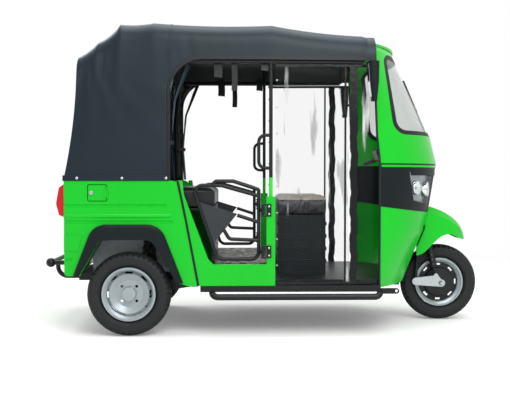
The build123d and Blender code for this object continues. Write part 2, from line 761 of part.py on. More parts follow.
def gathered_curtain():
    """Curtain drawn back and tied along the rear edge of the passenger doorway."""
    x = CANOPY[3][0] + BOW_R + RUN
    outline = [(x, CURTAIN_TOP), (x + 210, CURTAIN_TOP), (x + 120, 1400), (x + 95, 1150), (x + 110, BELT)]
    outline += [(x, BELT)]
    return side_prism(outline, INNER_HALF - 22, INNER_HALF + 16)


nodes["driver_curtains"] = both_sides(driver_curtain())
nodes["gathered_curtains"] = both_sides(gathered_curtain())

# Seats
MAT_T = 4
nodes["floor_mat"] = block((SEAT_FRONT + 10, POST_BACK), (-SILL_IN, SILL_IN), (PASSENGER_FLOOR, PASSENGER_FLOOR + MAT_T))
DRIVER_SEAT_X = (POST_FRONT + 19, POST_FRONT + 352)
DRIVER_SEAT_Z = (705, 820)
DRIVER_SEAT_HALF = 270


def driver_seat_base():
    """Moulded seat box with ribs round its front and sides."""
    low, high = DRIVER_SEAT_X
    base = block((low + 14, high - 14), (-256, 256), (DRIVER_FLOOR, DRIVER_SEAT_Z[0]))
    for z in (400, 480, 560, 640):
        base += block((low + 8, high - 8), (-262, 262), (z, z + 22))
    return base


nodes["driver_seat_base"] = driver_seat_base()
cushion = block(DRIVER_SEAT_X, (-DRIVER_SEAT_HALF, DRIVER_SEAT_HALF), DRIVER_SEAT_Z)
nodes["driver_seat"] = fillet(cushion.edges(), 24)
BENCH_HALF = INNER_HALF - 30
BENCH_BACK = SEAT_FRONT - 445


def bench_base():
    """Bench box: front board and deck, with a board behind the backrest."""
    outline = [
        (SEAT_FRONT, REAR_RAIL_TOP), (SEAT_FRONT, SEAT_DECK), (BENCH_BACK - 130, SEAT_DECK),
        (BENCH_BACK - 130, SEAT_DECK - SHEET), (SEAT_FRONT - SHEET, SEAT_DECK - SHEET),
        (SEAT_FRONT - SHEET, REAR_RAIL_TOP),
    ]
    return side_prism(outline, -BENCH_HALF, BENCH_HALF)


nodes["bench_base"] = bench_base()
bench = block((BENCH_BACK, SEAT_FRONT + 20), (-BENCH_HALF, BENCH_HALF), (SEAT_DECK, SEAT_DECK + 110))
nodes["bench_cushion"] = fillet(bench.edges().filter_by(Axis.Y), 30)
backrest = side_prism(
    [(BENCH_BACK, SEAT_DECK), (BENCH_BACK - 60, 1330), (BENCH_BACK - 150, 1330), (BENCH_BACK - 110, SEAT_DECK)],
    -BENCH_HALF + 40, BENCH_HALF - 40,
)
nodes["bench_backrest"] = backrest


def engine():
    """Rear engine as one plain block with two mounting ears on the rear rails."""
    block_x = REAR_AXLE - 270, REAR_AXLE + 170
    half = REAR_RAIL[0] - 20
    body = block(block_x, (-half, half), (220, 600))
    for x in (block_x[0] + 60, block_x[1] - 140):
        body += block((x, x + 40), (-REAR_RAIL[1], REAR_RAIL[1]), (REAR_RAIL_TOP, REAR_RAIL_TOP + 24))
    return body


nodes["engine"] = engine()

HUB_Z = TYRE_R


def trailing_arms():
    """Trailing arms from the pivot cross member to the hubs, each with its stub axle."""
    outline = [
        (ARM_PIVOT_X, 335), (ARM_PIVOT_X, 275), (REAR_AXLE, HUB_Z - 40), (REAR_AXLE, HUB_Z + 40),
    ]
    arm = side_prism(outline, *ARM_Y)
    arm += rod((REAR_AXLE, ARM_Y[0], HUB_Z), (REAR_AXLE, ARM_Y[1] + 30, HUB_Z), 45)
    arm += rod((REAR_AXLE, ARM_Y[1], HUB_Z), (REAR_AXLE, REAR_TRACK_HALF + 35, HUB_Z), STUB_R)
    return both_sides(arm)


nodes["trailing_arms"] = trailing_arms()


def coil(start, end, radius, turns):
    """Coil spring drawn as a ridged sleeve between two points."""
    line = Vector(*end) - Vector(*start)
    step = line.length / (2 * turns)
    ridge = [(radius - (0 if i % 2 else COIL_DEPTH), i * step) for i in range(2 * turns + 1)]
    face = make_face(Polyline((0, 0, 0), *[(r, 0, z) for r, z in ridge], (0, 0, line.length), close=True))
    return Plane(origin=start, z_dir=line) * revolve(face, axis=Axis.Z)


COIL_DEPTH = 6


def rear_shocks():
    """Coil-over shock absorbers from the arms to the frame towers."""
    y = sum(ARM_Y) / 2
    top = TOWER_TOP - TOWER_T
    low, high = (REAR_AXLE + 60, y, 300), (REAR_AXLE + 105, y, top)
    foot = rod((low[0] - 8, y, low[2] - 60), high, 14) + coil((low[0] + 10, y, low[2] + 60), high, 30, 6)
    return both_sides(foot - trailing_arms() - nodes["frame"])


nodes["rear_shocks"] = rear_shocks()


def tyre(width, y):
    """Tyre: crowned tread, rounded shoulders, bulged sidewalls and a bead seat on the rim."""
    half = width / 2
    shape = [
        (RIM_R + RUN, half - 14), (RIM_R + 20, half - 4), (RIM_R + 44, half), (RIM_R + 66, half - 4),
        (TYRE_R - 10, half - 14), (TYRE_R - 4, half - 28), (TYRE_R, half - 50),
    ]
    return turned(shape + [(r, -w) for r, w in shape[::-1]], y)


FLANGE = 12
BARREL_T = 5
SLOTS = 8
BOLTS = 4
BOLT_CIRCLE_R = 62
BOLT_HOLE_R = 9


def barrel(half, y):
    """Rim barrel: bead seats, a drop centre and rolled edges."""
    outer = [(RIM_R, half), (RIM_R, half - 26), (RIM_R - 18, half - 34)]
    inner = [(r - BARREL_T, w) for r, w in outer]
    outside = outer + [(r, -w) for r, w in outer[::-1]]
    inside = inner + [(r, -w) for r, w in inner[::-1]]
    ring = turned(outside + inside[::-1], y)
    for side in (-1, 1):
        edge = side * half
        ring += turned([(RIM_R - FLANGE, edge), (RIM_R, edge), (RIM_R, edge + 4 * side), (RIM_R - FLANGE, edge + 4 * side)], y)
    return ring


def rear_rim(y, out):
    """Pressed rear wheel: dished disc with vent slots and bolt holes, and a cap over the stub's end."""
    half = REAR_TYRE_W / 2 - 18
    well = RIM_R - 18 - BARREL_T / 2
    profile = [
        (STUB_R + RUN, -28), (45, -28), (45, 8), (84, 8), (118, 24), (well, 8), (well, 13), (118, 29),
        (82, 13), (45, 13), (40, 42), (0, 42), (0, 37), (STUB_R + RUN, 37),
    ]
    disc = turned([(r, w * out) for r, w in profile], y)
    for count in range(SLOTS):
        slot = Pos(127, y + 20 * out, 0) * Box(12, 40, 46)
        disc -= Rot(0, 360 / SLOTS * count, 0) * slot
    for count in range(BOLTS):
        hole = rod((BOLT_CIRCLE_R, y - 60, 0), (BOLT_CIRCLE_R, y + 60, 0), BOLT_HOLE_R)
        disc -= Rot(0, 360 / BOLTS * (count + 0.5), 0) * hole
    return barrel(half, y) + disc


def front_rim(y):
    """Front wheel: rim ring, slotted disc and a brake drum round the axle."""
    half = FRONT_TYRE_W / 2 - 18
    well = RIM_R - 18 - BARREL_T / 2
    profile = [
        (AXLE_R + RUN, -42), (30, -42), (30, -34), (92, -30), (98, -10), (well, -4), (well, 4),
        (98, 10), (92, 30), (30, 34), (30, 42), (AXLE_R + RUN, 42),
    ]
    disc = turned(profile, y)
    for count in range(SLOTS):
        disc -= Rot(0, 360 / SLOTS * count, 0) * (Pos(116, y, 0) * Box(12, 40, 34))
    return barrel(half, y) + disc


for side, name in ((1, "left"), (-1, "right")):
    at_hub = Pos(REAR_AXLE, 0, HUB_Z)
    nodes["rear_tyre_" + name] = at_hub * tyre(REAR_TYRE_W, side * REAR_TRACK_HALF)
    nodes["rear_rim_" + name] = at_hub * rear_rim(side * REAR_TRACK_HALF, side)
at_front = Pos(FRONT_AXLE, 0, TYRE_R)
nodes["front_tyre"] = at_front * tyre(FRONT_TYRE_W, 0)
nodes["front_rim"] = at_front * front_rim(0)

# Fork and leading links
LEG_Y = (72, 98)
LEG_R = 12
LINK_T = 14
LINK_R = 24
PIVOT = (FRONT_AXLE - 169, 262)
SHOCK_Y = 92
SHOCK_LOW = (FRONT_AXLE - 36, 300)
SHOCK_HIGH = (FRONT_AXLE - 92, 552)
SPRING_R = 25


def fork():
    """Stem, crown and two legs that end in bosses for the leading links."""
    stem = rod(steer_point(0), steer_point(BAR_UP - BAR_R), STEM_R)
    crown = Plane(origin=steer_point(10), x_dir=(0, 1, 0), z_dir=steer_axis()) * Box(2 * LEG_Y[1] + 44, 90, 40)
    fork_body = stem + crown
    middle = sum(LEG_Y) / 2
    for side in (-1, 1):
        y = side * middle
        fork_body += rod((PIVOT[0], y, PIVOT[1]), steer_point(10, -20, y), LEG_R)
        a, b = side * LEG_Y[0], side * LEG_Y[1]
        fork_body += rod((PIVOT[0], a, PIVOT[1]), (PIVOT[0], b, PIVOT[1]), LINK_R)
        fork_body += rod((SHOCK_HIGH[0], side * 66, SHOCK_HIGH[1]), (SHOCK_HIGH[0], side * 118, SHOCK_HIGH[1]), 16)
    return fork_body


def steer_axis():
    """Direction of the steering axis."""
    return -sin(radians(RAKE)), 0, cos(radians(RAKE))


def link():
    """Leading link from the fork boss to the axle, with a lug for the shock absorber."""
    low, high = LEG_Y[1] + RUN, LEG_Y[1] + LINK_T
    ends = [(PIVOT[0], PIVOT[1]), (FRONT_AXLE, TYRE_R)]
    bar = side_prism(
        [(ends[0][0], ends[0][1] - LINK_R), (ends[1][0], ends[1][1] - LINK_R),
         (ends[1][0], ends[1][1] + LINK_R), (SHOCK_LOW[0] + 14, SHOCK_LOW[1]),
         (SHOCK_LOW[0] - 14, SHOCK_LOW[1]), (ends[0][0], ends[0][1] + LINK_R)], low, high)
    for x, z in ends:
        bar += rod((x, low, z), (x, high, z), LINK_R)
    bar += rod((SHOCK_LOW[0], low, SHOCK_LOW[1]), (SHOCK_LOW[0], high, SHOCK_LOW[1]), 14)
    return bar - rod((FRONT_AXLE, 0, TYRE_R), (FRONT_AXLE, FAR, TYRE_R), AXLE_R)


def front_shocks():
    """Coil-over shock absorbers between the fork crown and the links."""
    low = SHOCK_LOW[0], SHOCK_Y, SHOCK_LOW[1]
    high = SHOCK_HIGH[0], SHOCK_Y, SHOCK_HIGH[1]
    line = Vector(*high) - Vector(*low)
    foot = Vector(*low) + line * 0.22
    head = Vector(*low) + line * 0.93
    shock = rod(low, high, 9) + coil(tuple(foot), tuple(head), SPRING_R, 6)
    shock += rod((low[0], SHOCK_Y - 12, low[2]), (low[0], LEG_Y[1], low[2]), 14)
    return shock


nodes["fork"] = fork()
nodes["front_links"] = both_sides(link())
nodes["front_shocks"] = both_sides(front_shocks() - nodes["fork"] - nodes["front_links"])
nodes["front_axle"] = rod((FRONT_AXLE, -LEG_Y[1] - 30, TYRE_R), (FRONT_AXLE, LEG_Y[1] + 30, TYRE_R), AXLE_R)


BINNACLE = (190, 120, 80)


def handlebar():
    """Handlebar across the top of the stem, its ends swept back to the grips."""
    run = [
        steer_point(BAR_UP, -70, BAR_HALF), steer_point(BAR_UP, 0, 150),
        steer_point(BAR_UP, 0, -150), steer_point(BAR_UP, -70, -BAR_HALF),
    ]
    bar = bent_tube(run, BAR_R, 80)
    bar += rod(steer_point(BAR_UP - BAR_R), steer_point(BAR_UP), STEM_R)
    for side in (-1, 1):
        root = steer_point(BAR_UP, -8, side * 175)
        bar += rod(root, steer_point(BAR_UP, 30, side * 185), 9)
        bar += rod(steer_point(BAR_UP, 30, side * 185), steer_point(BAR_UP, -22, side * (BAR_HALF + 10)), 5)
    plane = Plane(origin=steer_point(BAR_UP + BINNACLE[2] / 2 - BAR_R + 1, 20), x_dir=(0, 1, 0), z_dir=steer_axis())
    return bar + plane * fillet(Box(*BINNACLE).edges(), 18)


GRIP_R = 16
GRIP_LENGTH = 120


def handlebar_grips():
    """Rubber grips over the bar ends."""
    end = Vector(*steer_point(BAR_UP, -70, BAR_HALF))
    inner = Vector(*steer_point(BAR_UP, 0, 150))
    step = (inner - end).normalized()
    grip = rod(tuple(end - step * 6), tuple(end + step * GRIP_LENGTH), GRIP_R)
    return both_sides(grip - rod(tuple(end), tuple(inner), BAR_R))


nodes["handlebar"] = handlebar()
nodes["handlebar_grips"] = handlebar_grips()

# Half doors: corner points in side view, X measured back from the B-post
DOOR = [(-47, 834), (-47, 458), (-293, 458), (-442, 898), (-267, 896)]
UPPER_RAIL = [(-330, 897), (-300, 922), (-200, 922), (-47, 872), (-47, 834)]
MID_RAIL = [(-175, 720), (-47, 678)]
INNER_RAIL = [(-256, 634), (-222, 578), (-47, 570)]
PANEL = [(-425, 806), (-175, 728), (-320, 545)]
HINGE_BANDS = ((465, 540), (712, 787))
LUG = 9
BARREL_R = 10


def door_at(points):
    """Door points in side view, moved to their place on the left side."""
    return [(POST_BACK + x, DOOR_Y, z) for x, z in points]


def door_frame():
    """Bent tube frame with its rails, and two hinge barrels on arms."""
    outline = door_at(DOOR)
    frame = bent_tube(outline, DOOR_R, 44)
    frame += rod(outline[-1], outline[0], DOOR_R) + ball(outline[0], DOOR_R) + ball(outline[-1], DOOR_R)
    upper = door_at(UPPER_RAIL)
    frame += bent_tube(upper, DOOR_R, 12) + bent_tube(door_at(INNER_RAIL), DOOR_R, 30)
    frame += rod(*door_at(MID_RAIL), DOOR_R)
    for low, high in HINGE_BANDS:
        span = low + LUG + 6, high - LUG - 6
        middle = (low + high) / 2
        frame += rod((HINGE_X, HINGE_Y, span[0]), (HINGE_X, HINGE_Y, span[1]), BARREL_R)
        frame += rod((outline[0][0], DOOR_Y, middle), (HINGE_X, HINGE_Y, middle), 9)
    for low, high in HINGE_BANDS:
        frame -= rod((HINGE_X, HINGE_Y, low), (HINGE_X, HINGE_Y, high), HINGE_PIN_R + RUN)
    return frame


def hinge_brackets():
    """Plates on the B-post with two lugs and a pin for each door hinge."""
    bracket = Part()
    for low, high in HINGE_BANDS:
        bracket += block((POST_BACK, POST_BACK + 28), (BODY_HALF, BODY_HALF + 5), (low, high))
        for z in (low, high - LUG):
            bracket += block((HINGE_X - 10, POST_BACK + 8), (BODY_HALF, HINGE_Y + 10), (z, z + LUG))
        bracket += rod((HINGE_X, HINGE_Y, low), (HINGE_X, HINGE_Y, high), HINGE_PIN_R)
    return both_sides(bracket)


left_door = door_frame()
panel_points = [(x, z) for x, _, z in door_at(PANEL)]
left_panel = side_prism(panel_points, DOOR_Y - 3, DOOR_Y + 3) - left_door
left_panel = left_panel.solids().sort_by(SortBy.VOLUME)[-1]
nodes["door_left"] = left_door
nodes["door_right"] = mirrored(left_door)
nodes["door_panel_left"] = left_panel
nodes["door_panel_right"] = mirrored(left_panel)
nodes["hinge_brackets"] = hinge_brackets()

os.makedirs("parts", exist_ok=True)
for node, shape in nodes.items():
    export_step(shape, f"parts/{node}.step")
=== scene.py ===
# %% [markdown]
# # A passenger auto rickshaw in the studio
# The measured model brings every rigid piece at its real size and place. This script dresses it: paint,
# vinyl, rubber, film and glass, and the soft and small pieces that a solid model leaves plain.
# Each step first says what the piece is on the real vehicle and why it is made the way it is.

# %% Load the frame
import json

import bmesh
import bpy
import numpy as np
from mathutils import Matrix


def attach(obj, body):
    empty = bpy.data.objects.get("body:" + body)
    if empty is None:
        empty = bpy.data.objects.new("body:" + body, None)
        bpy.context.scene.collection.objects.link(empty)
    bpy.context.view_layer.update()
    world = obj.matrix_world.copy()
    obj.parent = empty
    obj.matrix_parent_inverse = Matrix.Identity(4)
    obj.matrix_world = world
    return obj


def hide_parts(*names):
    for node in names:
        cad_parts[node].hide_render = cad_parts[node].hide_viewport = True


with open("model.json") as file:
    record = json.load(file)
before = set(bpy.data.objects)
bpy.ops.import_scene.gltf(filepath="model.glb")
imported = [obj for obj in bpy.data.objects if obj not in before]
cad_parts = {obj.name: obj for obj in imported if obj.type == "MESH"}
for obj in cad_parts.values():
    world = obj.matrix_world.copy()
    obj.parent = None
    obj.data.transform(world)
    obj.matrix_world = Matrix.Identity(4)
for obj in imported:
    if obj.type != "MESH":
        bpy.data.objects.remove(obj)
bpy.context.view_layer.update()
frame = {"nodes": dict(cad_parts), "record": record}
NODES = frame["nodes"]

# %% [markdown]
# ## Nodes and colours
# Every finish below is a small graph of shader nodes. One helper adds a node with its settings and links, so
# that a finish reads from top to bottom. Colours are sRGB hex values, as on a paint chart, and one function
# turns them to the linear light that Blender works in.

# %% Node and colour helpers
MIX, RANGE, MATH, VECTOR = "ShaderNodeMix", "ShaderNodeMapRange", "ShaderNodeMath", "ShaderNodeVectorMath"
NOISE, CELLS = "ShaderNodeTexNoise", "ShaderNodeTexVoronoi"
SPECULAR = "Specular IOR Level"


def add(tree, kind, inputs=None, **settings):
    """Add one node: settings are its attributes; inputs are socket values, or outputs to link from."""
    node = tree.nodes.new(kind)
    for key, value in settings.items():
        setattr(node, key, value)
    for key, value in (inputs or {}).items():
        if isinstance(value, bpy.types.NodeSocket):
            tree.links.new(value, node.inputs[key])
        else:
            node.inputs[key].default_value = value
    return node


def linear(hex_colour):
    """sRGB hex to linear RGBA: c / 12.92 below 0.04045, else ((c + 0.055) / 1.055) ** 2.4."""
    code = hex_colour.lstrip("#")
    srgb = np.array([int(code[i:i + 2], 16) / 255 for i in (0, 2, 4)])
    rgb = np.where(srgb <= 0.04045, srgb / 12.92, ((srgb + 0.055) / 1.055) ** 2.4)
    return (*rgb.tolist(), 1.0)


def new_tree(name):
    """Material with an empty node tree."""
    material = bpy.data.materials.new(name)
    material.use_nodes = True
    material.node_tree.nodes.clear()
    return material, material.node_tree


print("mid grey is", round(linear("#808080")[0], 3), "in linear light")

# %% [markdown]
# ## Camera
# A picture like this is taken from the side with a longer lens, at chest height. The lens comes from the
# picture: one metre at the vehicle's middle spans about 150 of its 510 pixels. The camera is turned a little,
# which frames the vehicle without shifting the lens.

# %% Camera
PHOTO_W = 510
FOCAL_PX = 844
SENSOR_MM = 36
LENS_MM = FOCAL_PX / PHOTO_W * SENSOR_MM
CAMERA_PLACE = (-0.227, -5.62, 0.935)
CAMERA_PITCH = np.radians(90 - 1.90)
CAMERA_YAW = np.radians(-1.29)

lens = bpy.data.cameras.new("camera")
lens.sensor_fit = "HORIZONTAL"
lens.sensor_width = SENSOR_MM
lens.lens = LENS_MM
camera = bpy.data.objects.new("camera", lens)
camera.location = CAMERA_PLACE
camera.rotation_euler = (CAMERA_PITCH, 0, CAMERA_YAW)
bpy.context.scene.collection.objects.link(camera)
bpy.context.scene.camera = camera
print("camera lens", round(LENS_MM, 1), "mm")

# %% [markdown]
# ## Studio light
# The vehicle stands before a white sheet. The world is white to the camera, to gloss and to glass, so that
# paint and film mirror that sheet, and a softer white fills the shadows. Three large lamps give it form: one
# from the front, one above and a weaker one behind.

# %% World and lamps
def make_world(fill):
    """White to camera, gloss and glass; a softer white of strength fill as light."""
    world = bpy.data.worlds.new("studio")
    bpy.context.scene.world = world
    world.use_nodes = True
    tree = world.node_tree
    tree.nodes.clear()
    ray = add(tree, "ShaderNodeLightPath").outputs
    first = add(tree, MATH, {0: ray["Is Camera Ray"], 1: ray["Is Glossy Ray"]}, operation="MAXIMUM")
    seen = add(tree, MATH, {0: first.outputs[0], 1: ray["Is Transmission Ray"]}, operation="MAXIMUM")
    level = add(tree, RANGE, {"Value": seen.outputs[0], "To Min": fill, "To Max": 1.0})
    sky = add(tree, "ShaderNodeBackground", {"Color": linear("#FFFFFF"), "Strength": level.outputs[0]})
    add(tree, "ShaderNodeOutputWorld", {"Surface": sky.outputs[0]})


def make_lamp(name, place, aim, size, power):
    """Soft square lamp at a place, turned to face a point."""
    data = bpy.data.lights.new(name, "AREA")
    data.size = size
    data.energy = power
    lamp = bpy.data.objects.new(name, data)
    lamp.location = place
    direction = np.array(aim, float) - np.array(place, float)
    flat = np.hypot(direction[0], direction[1])
    lamp.rotation_euler = (np.arctan2(flat, -direction[2]), 0, np.arctan2(-direction[0], direction[1]))
    bpy.context.scene.collection.objects.link(lamp)


bpy.context.scene.view_settings.view_transform = "Standard"
make_world(fill=0.58)
make_lamp("key", place=(0.8, -3.9, 3.6), aim=(0, 0, 0.8), size=3.0, power=165)
make_lamp("top", place=(0, 0, 5.2), aim=(0, 0.01, 1.0), size=3.6, power=150)
make_lamp("back", place=(-2.6, 3.2, 3.8), aim=(-0.2, 0, 0.8), size=3.0, power=70)
print(len(bpy.data.lights), "lamps")

# %% [markdown]
# ## Floor
# White paper runs under the vehicle. A pale disc stands for it: it takes the shadow and fades to nothing
# before its rim, so that no edge shows. It glows a little to the camera alone, as over-lit paper does.

# %% Floor
FLOOR_RADIUS, FLOOR_FADE_FROM = 6.5, 1.8
FLOOR_SIDES = 96
GLOW = 0.16


def xyz(x, y, z):
    """Points from three coordinates; a single number is repeated."""
    return np.stack(np.broadcast_arrays(x, y, z), axis=-1)


turn = np.linspace(0, 2 * np.pi, FLOOR_SIDES, endpoint=False)
disc = bpy.data.meshes.new("floor")
rim = xyz(FLOOR_RADIUS * np.cos(turn), FLOOR_RADIUS * np.sin(turn), 0)
disc.from_pydata(rim.tolist(), [], [list(range(FLOOR_SIDES))])
# Matt white paper: no gloss at all
paper, tree = new_tree("matt_white_floor")
where = add(tree, "ShaderNodeTexCoord").outputs["Object"]
reach = add(tree, VECTOR, {0: where}, operation="LENGTH").outputs["Value"]
fade = add(tree, RANGE, {"Value": reach, "From Min": FLOOR_FADE_FROM, "From Max": FLOOR_RADIUS},
           interpolation_type="SMOOTHSTEP")
ray = add(tree, "ShaderNodeLightPath").outputs["Is Camera Ray"]
glow = add(tree, MATH, {0: ray, 1: GLOW}, operation="MULTIPLY")
sheet = add(tree, "ShaderNodeBsdfPrincipled", {
    "Base Color": linear("#F6F6F5"), "Roughness": 1.0, SPECULAR: 0.0,
    "Emission Color": linear("#FFFFFF"), "Emission Strength": glow.outputs[0]})
gone = add(tree, "ShaderNodeBsdfTransparent")
both = add(tree, "ShaderNodeMixShader", {0: fade.outputs[0], 1: sheet.outputs[0], 2: gone.outputs[0]})
add(tree, "ShaderNodeOutputMaterial", {"Surface": both.outputs[0]})
disc.materials.append(paper)
floor = bpy.data.objects.new("floor", disc)
bpy.context.scene.collection.objects.link(floor)
print("floor", 2 * FLOOR_RADIUS, "m across")

# %% [markdown]
# ## Opaque finishes
# Every surface starts from what it is: enamel over pressed steel, grained mouldings, coated cloth, rubber.
# One function builds them all: the colour drifts a little between two tones, the roughness drifts with it,
# and a fine grain is raised as bump. Real grains are under 1 mm; they are drawn at 4 to 14 mm so they show.

# %% One function for opaque finishes
MM = 0.001
BUMP_STRENGTH = 0.6
DRIFT_DETAIL = 4.0


def make_finish(name, tones, drift_mm, grain, grain_mm, depth_mm, rough, spread=0.5, shine=None):
    """Colour and roughness drift over drift_mm, in speckles if spread is small; a grain rises by depth_mm.

    shine gives the shader's sockets that are the same all over."""
    material, tree = new_tree(name)
    where = add(tree, "ShaderNodeTexCoord").outputs["Object"]
    drift = add(tree, NOISE, {
        "Vector": where, "Scale": 1 / (drift_mm * MM), "Detail": DRIFT_DETAIL}).outputs[0]
    tone = add(tree, RANGE, {"Value": drift, "From Min": 0.5 - spread, "From Max": 0.5 + spread}).outputs[0]
    colour = add(tree, MIX, {0: tone, 6: linear(tones[0]), 7: linear(tones[1])}, data_type="RGBA")
    level = add(tree, RANGE, {"Value": drift, "To Min": rough[0], "To Max": rough[1]})
    texture = add(tree, grain, {"Vector": where, "Scale": 1 / (grain_mm * MM)}).outputs[0]
    bump = add(tree, "ShaderNodeBump", {
        "Height": texture, "Distance": depth_mm * MM, "Strength": BUMP_STRENGTH})
    sockets = {"Base Color": colour.outputs[2], "Roughness": level.outputs[0], "Normal": bump.outputs[0]}
    body = add(tree, "ShaderNodeBsdfPrincipled", {**sockets, **(shine or {})})
    add(tree, "ShaderNodeOutputMaterial", {"Surface": body.outputs[0]})
    return material


print("finishes are made of", NOISE, "and", CELLS)

# %% [markdown]
# ## Paint and metal
# The body is pressed steel under gloss enamel, the tubes are powder coated, the wheels are sprayed silver.
# Paint is told from bare metal by its reflections: paint has a faint white gloss over its colour, plated and
# cast metal take their colour from what they mirror.

# %% Painted, plated and cast metal
FINISH = {}
# Two-pack enamel on pressed steel: deep gloss, the faint ripple of sprayed paint
FINISH["green_paint"] = make_finish(
    "gloss_green_enamel", ("#03B21B", "#06C226"), drift_mm=700, grain=NOISE, grain_mm=9, depth_mm=0.05,
    rough=(0.24, 0.32), shine={SPECULAR: 0.25, "Coat Weight": 0.1, "Coat Roughness": 0.06})
# Powder coat on steel tube: satin black with a slight orange peel
FINISH["black_steel"] = make_finish(
    "satin_black_powder_coat", ("#0A0C0E", "#131619"), drift_mm=250, grain=NOISE, grain_mm=5, depth_mm=0.12,
    rough=(0.32, 0.45), shine={SPECULAR: 0.3})
# Silver acrylic enamel on pressed wheels: the soft shine of fine metal flake
FINISH["rim_silver"] = make_finish(
    "silver_wheel_enamel", ("#8C969A", "#A6AFB3"), drift_mm=120, grain=NOISE, grain_mm=4, depth_mm=0.04,
    rough=(0.28, 0.38), shine={"Metallic": 0.35})
# Sand-cast aluminium: bright, pitted skin
FINISH["cast_metal"] = make_finish(
    "sand_cast_aluminium", ("#83888B", "#A4AAAD"), drift_mm=40, grain=NOISE, grain_mm=4, depth_mm=0.3,
    rough=(0.45, 0.6), shine={"Metallic": 0.85})
# Zinc plate on steel: bright with a slight haze
FINISH["bright_steel"] = make_finish(
    "zinc_plated_steel", ("#9DA3A6", "#C9CED1"), drift_mm=60, grain=NOISE, grain_mm=6, depth_mm=0.05,
    rough=(0.22, 0.34), shine={"Metallic": 1.0})
# Chrome on a polished bowl or behind mirror glass: sharp reflections, hardly any colour
CHROME = make_finish(
    "chromed_reflector", ("#D3D9DC", "#EEF1F3"), drift_mm=50, grain=NOISE, grain_mm=12, depth_mm=0.1,
    rough=(0.05, 0.09), shine={"Metallic": 1.0})
print("metals:", ", ".join(FINISH), "and", CHROME.name)

# %% [markdown]
# ## Mouldings and rubber
# Flares, lamp band and dashboard are moulded with a fine grain that takes away their gloss. Tyres, grips and
# the mat are rubber, which is duller still and greys where it wears. The lamp lens is polished acrylic.

# %% Plastics and rubbers
# Injection-moulded polypropylene, spark-eroded grain: matt blue-black
FINISH["black_plastic"] = make_finish(
    "grained_black_moulding", ("#080F12", "#0E181B"), drift_mm=300, grain=CELLS, grain_mm=5, depth_mm=0.08,
    rough=(0.42, 0.54), shine={SPECULAR: 0.18})
# Blow-moulded polyethylene: even blue-grey
FINISH["panel_grey"] = make_finish(
    "blue_grey_panel", ("#181D21", "#272E33"), drift_mm=180, grain=NOISE, grain_mm=8, depth_mm=0.2,
    rough=(0.36, 0.46), shine={SPECULAR: 0.4})
# Red acrylic moulding: saturated, polished skin over prism ribs
FINISH["red_lens"] = make_finish(
    "red_acrylic_lens", ("#A8000C", "#D00414"), drift_mm=60, grain=CELLS, grain_mm=14, depth_mm=0.5,
    rough=(0.1, 0.18), shine={SPECULAR: 0.3, "Coat Weight": 0.2, "Coat Roughness": 0.03})
# Carbon-black rubber from a steel mould: dull, greyer where it is scuffed
FINISH["tyre"] = make_finish(
    "tyre_rubber", ("#0E0F10", "#1E2022"), drift_mm=90, grain=NOISE, grain_mm=6, depth_mm=0.12,
    rough=(0.55, 0.75), shine={SPECULAR: 0.35})
# Moulded grip rubber: near black, matt
FINISH["grip_rubber"] = make_finish(
    "moulded_grip_rubber", ("#0A0C0D", "#141719"), drift_mm=120, grain=NOISE, grain_mm=5, depth_mm=0.15,
    rough=(0.45, 0.58), shine={SPECULAR: 0.3})
# Rubber matting with raised coins of 26 mm, their tops worn to a dusty grey: speckled
FINISH["mat_rubber"] = make_finish(
    "coin_rubber_mat", ("#0B0B0B", "#A9A8A2"), drift_mm=34, grain=CELLS, grain_mm=26, depth_mm=1.6,
    rough=(0.5, 0.7), spread=0.05)
print(len(FINISH), "slots have a finish")

# %% [markdown]
# ## Cloth and vinyl
# The canopy is polyester cloth coated with vinyl, which catches the sky as a bluish sheen at grazing angles.
# The seats are thicker vinyl with a leather grain. Tapes bind the edges: woven ones are dull, welded ones
# shiny.

# %% Coated cloth, vinyl and tape
# PVC-coated polyester cloth: soft sheen, embossed leather grain
FINISH["canopy_vinyl"] = make_finish(
    "coated_canopy_cloth", ("#09151B", "#13252D"), drift_mm=450, grain=CELLS, grain_mm=6, depth_mm=0.15,
    rough=(0.36, 0.46), shine={SPECULAR: 0.25, "Sheen Weight": 0.34, "Sheen Roughness": 0.35,
                               "Sheen Tint": linear("#94C2E0")})
# Expanded vinyl over foam: grained, soft gloss
FINISH["seat_vinyl"] = make_finish(
    "dark_seat_vinyl", ("#0F1113", "#1B1F22"), drift_mm=200, grain=CELLS, grain_mm=6, depth_mm=0.2,
    rough=(0.36, 0.48), shine={SPECULAR: 0.35})
# The same vinyl in taupe for the top of the driver's seat: pale, rubbed a little shiny
TAUPE = make_finish(
    "taupe_seat_vinyl", ("#8B857E", "#A8A29B"), drift_mm=140, grain=CELLS, grain_mm=6, depth_mm=0.2,
    rough=(0.4, 0.5))
# Dark inner skin of the canopy cloth: plain black that also paints shade on the cabin's ceiling, and lends
# the wheel-arch liners their painted shade
LINING_AND_SHADE = make_finish(
    "black_lining_and_painted_shade", ("#0D0F11", "#191C1F"), drift_mm=200, grain=CELLS, grain_mm=7, depth_mm=0.2,
    rough=(0.35, 0.5))
# Woven polyester tape, dipped in vinyl: black with a low sheen
TAPE = make_finish(
    "black_binding_tape", ("#0A0C0D", "#14181A"), drift_mm=80, grain=NOISE, grain_mm=5, depth_mm=0.3,
    rough=(0.3, 0.45), shine={SPECULAR: 0.3})
# Vinyl tape welded on film: wet-looking black, puckered by the weld
GLOSSY_TAPE = make_finish(
    "wet_look_tape", ("#060708", "#0D1011"), drift_mm=80, grain=NOISE, grain_mm=14, depth_mm=3.0,
    rough=(0.12, 0.2), shine={SPECULAR: 0.25})
print(len(FINISH), "slots have a finish; beside them", TAUPE.name, LINING_AND_SHADE.name, TAPE.name, GLOSSY_TAPE.name)

# %% [markdown]
# ## Two-tone parts
# The door pillar is green up to the belt and black above it, and the front wheel has a silver rim round a
# black drum. A real painter masks them. Here the mask is the distance from a point, along chosen axes.

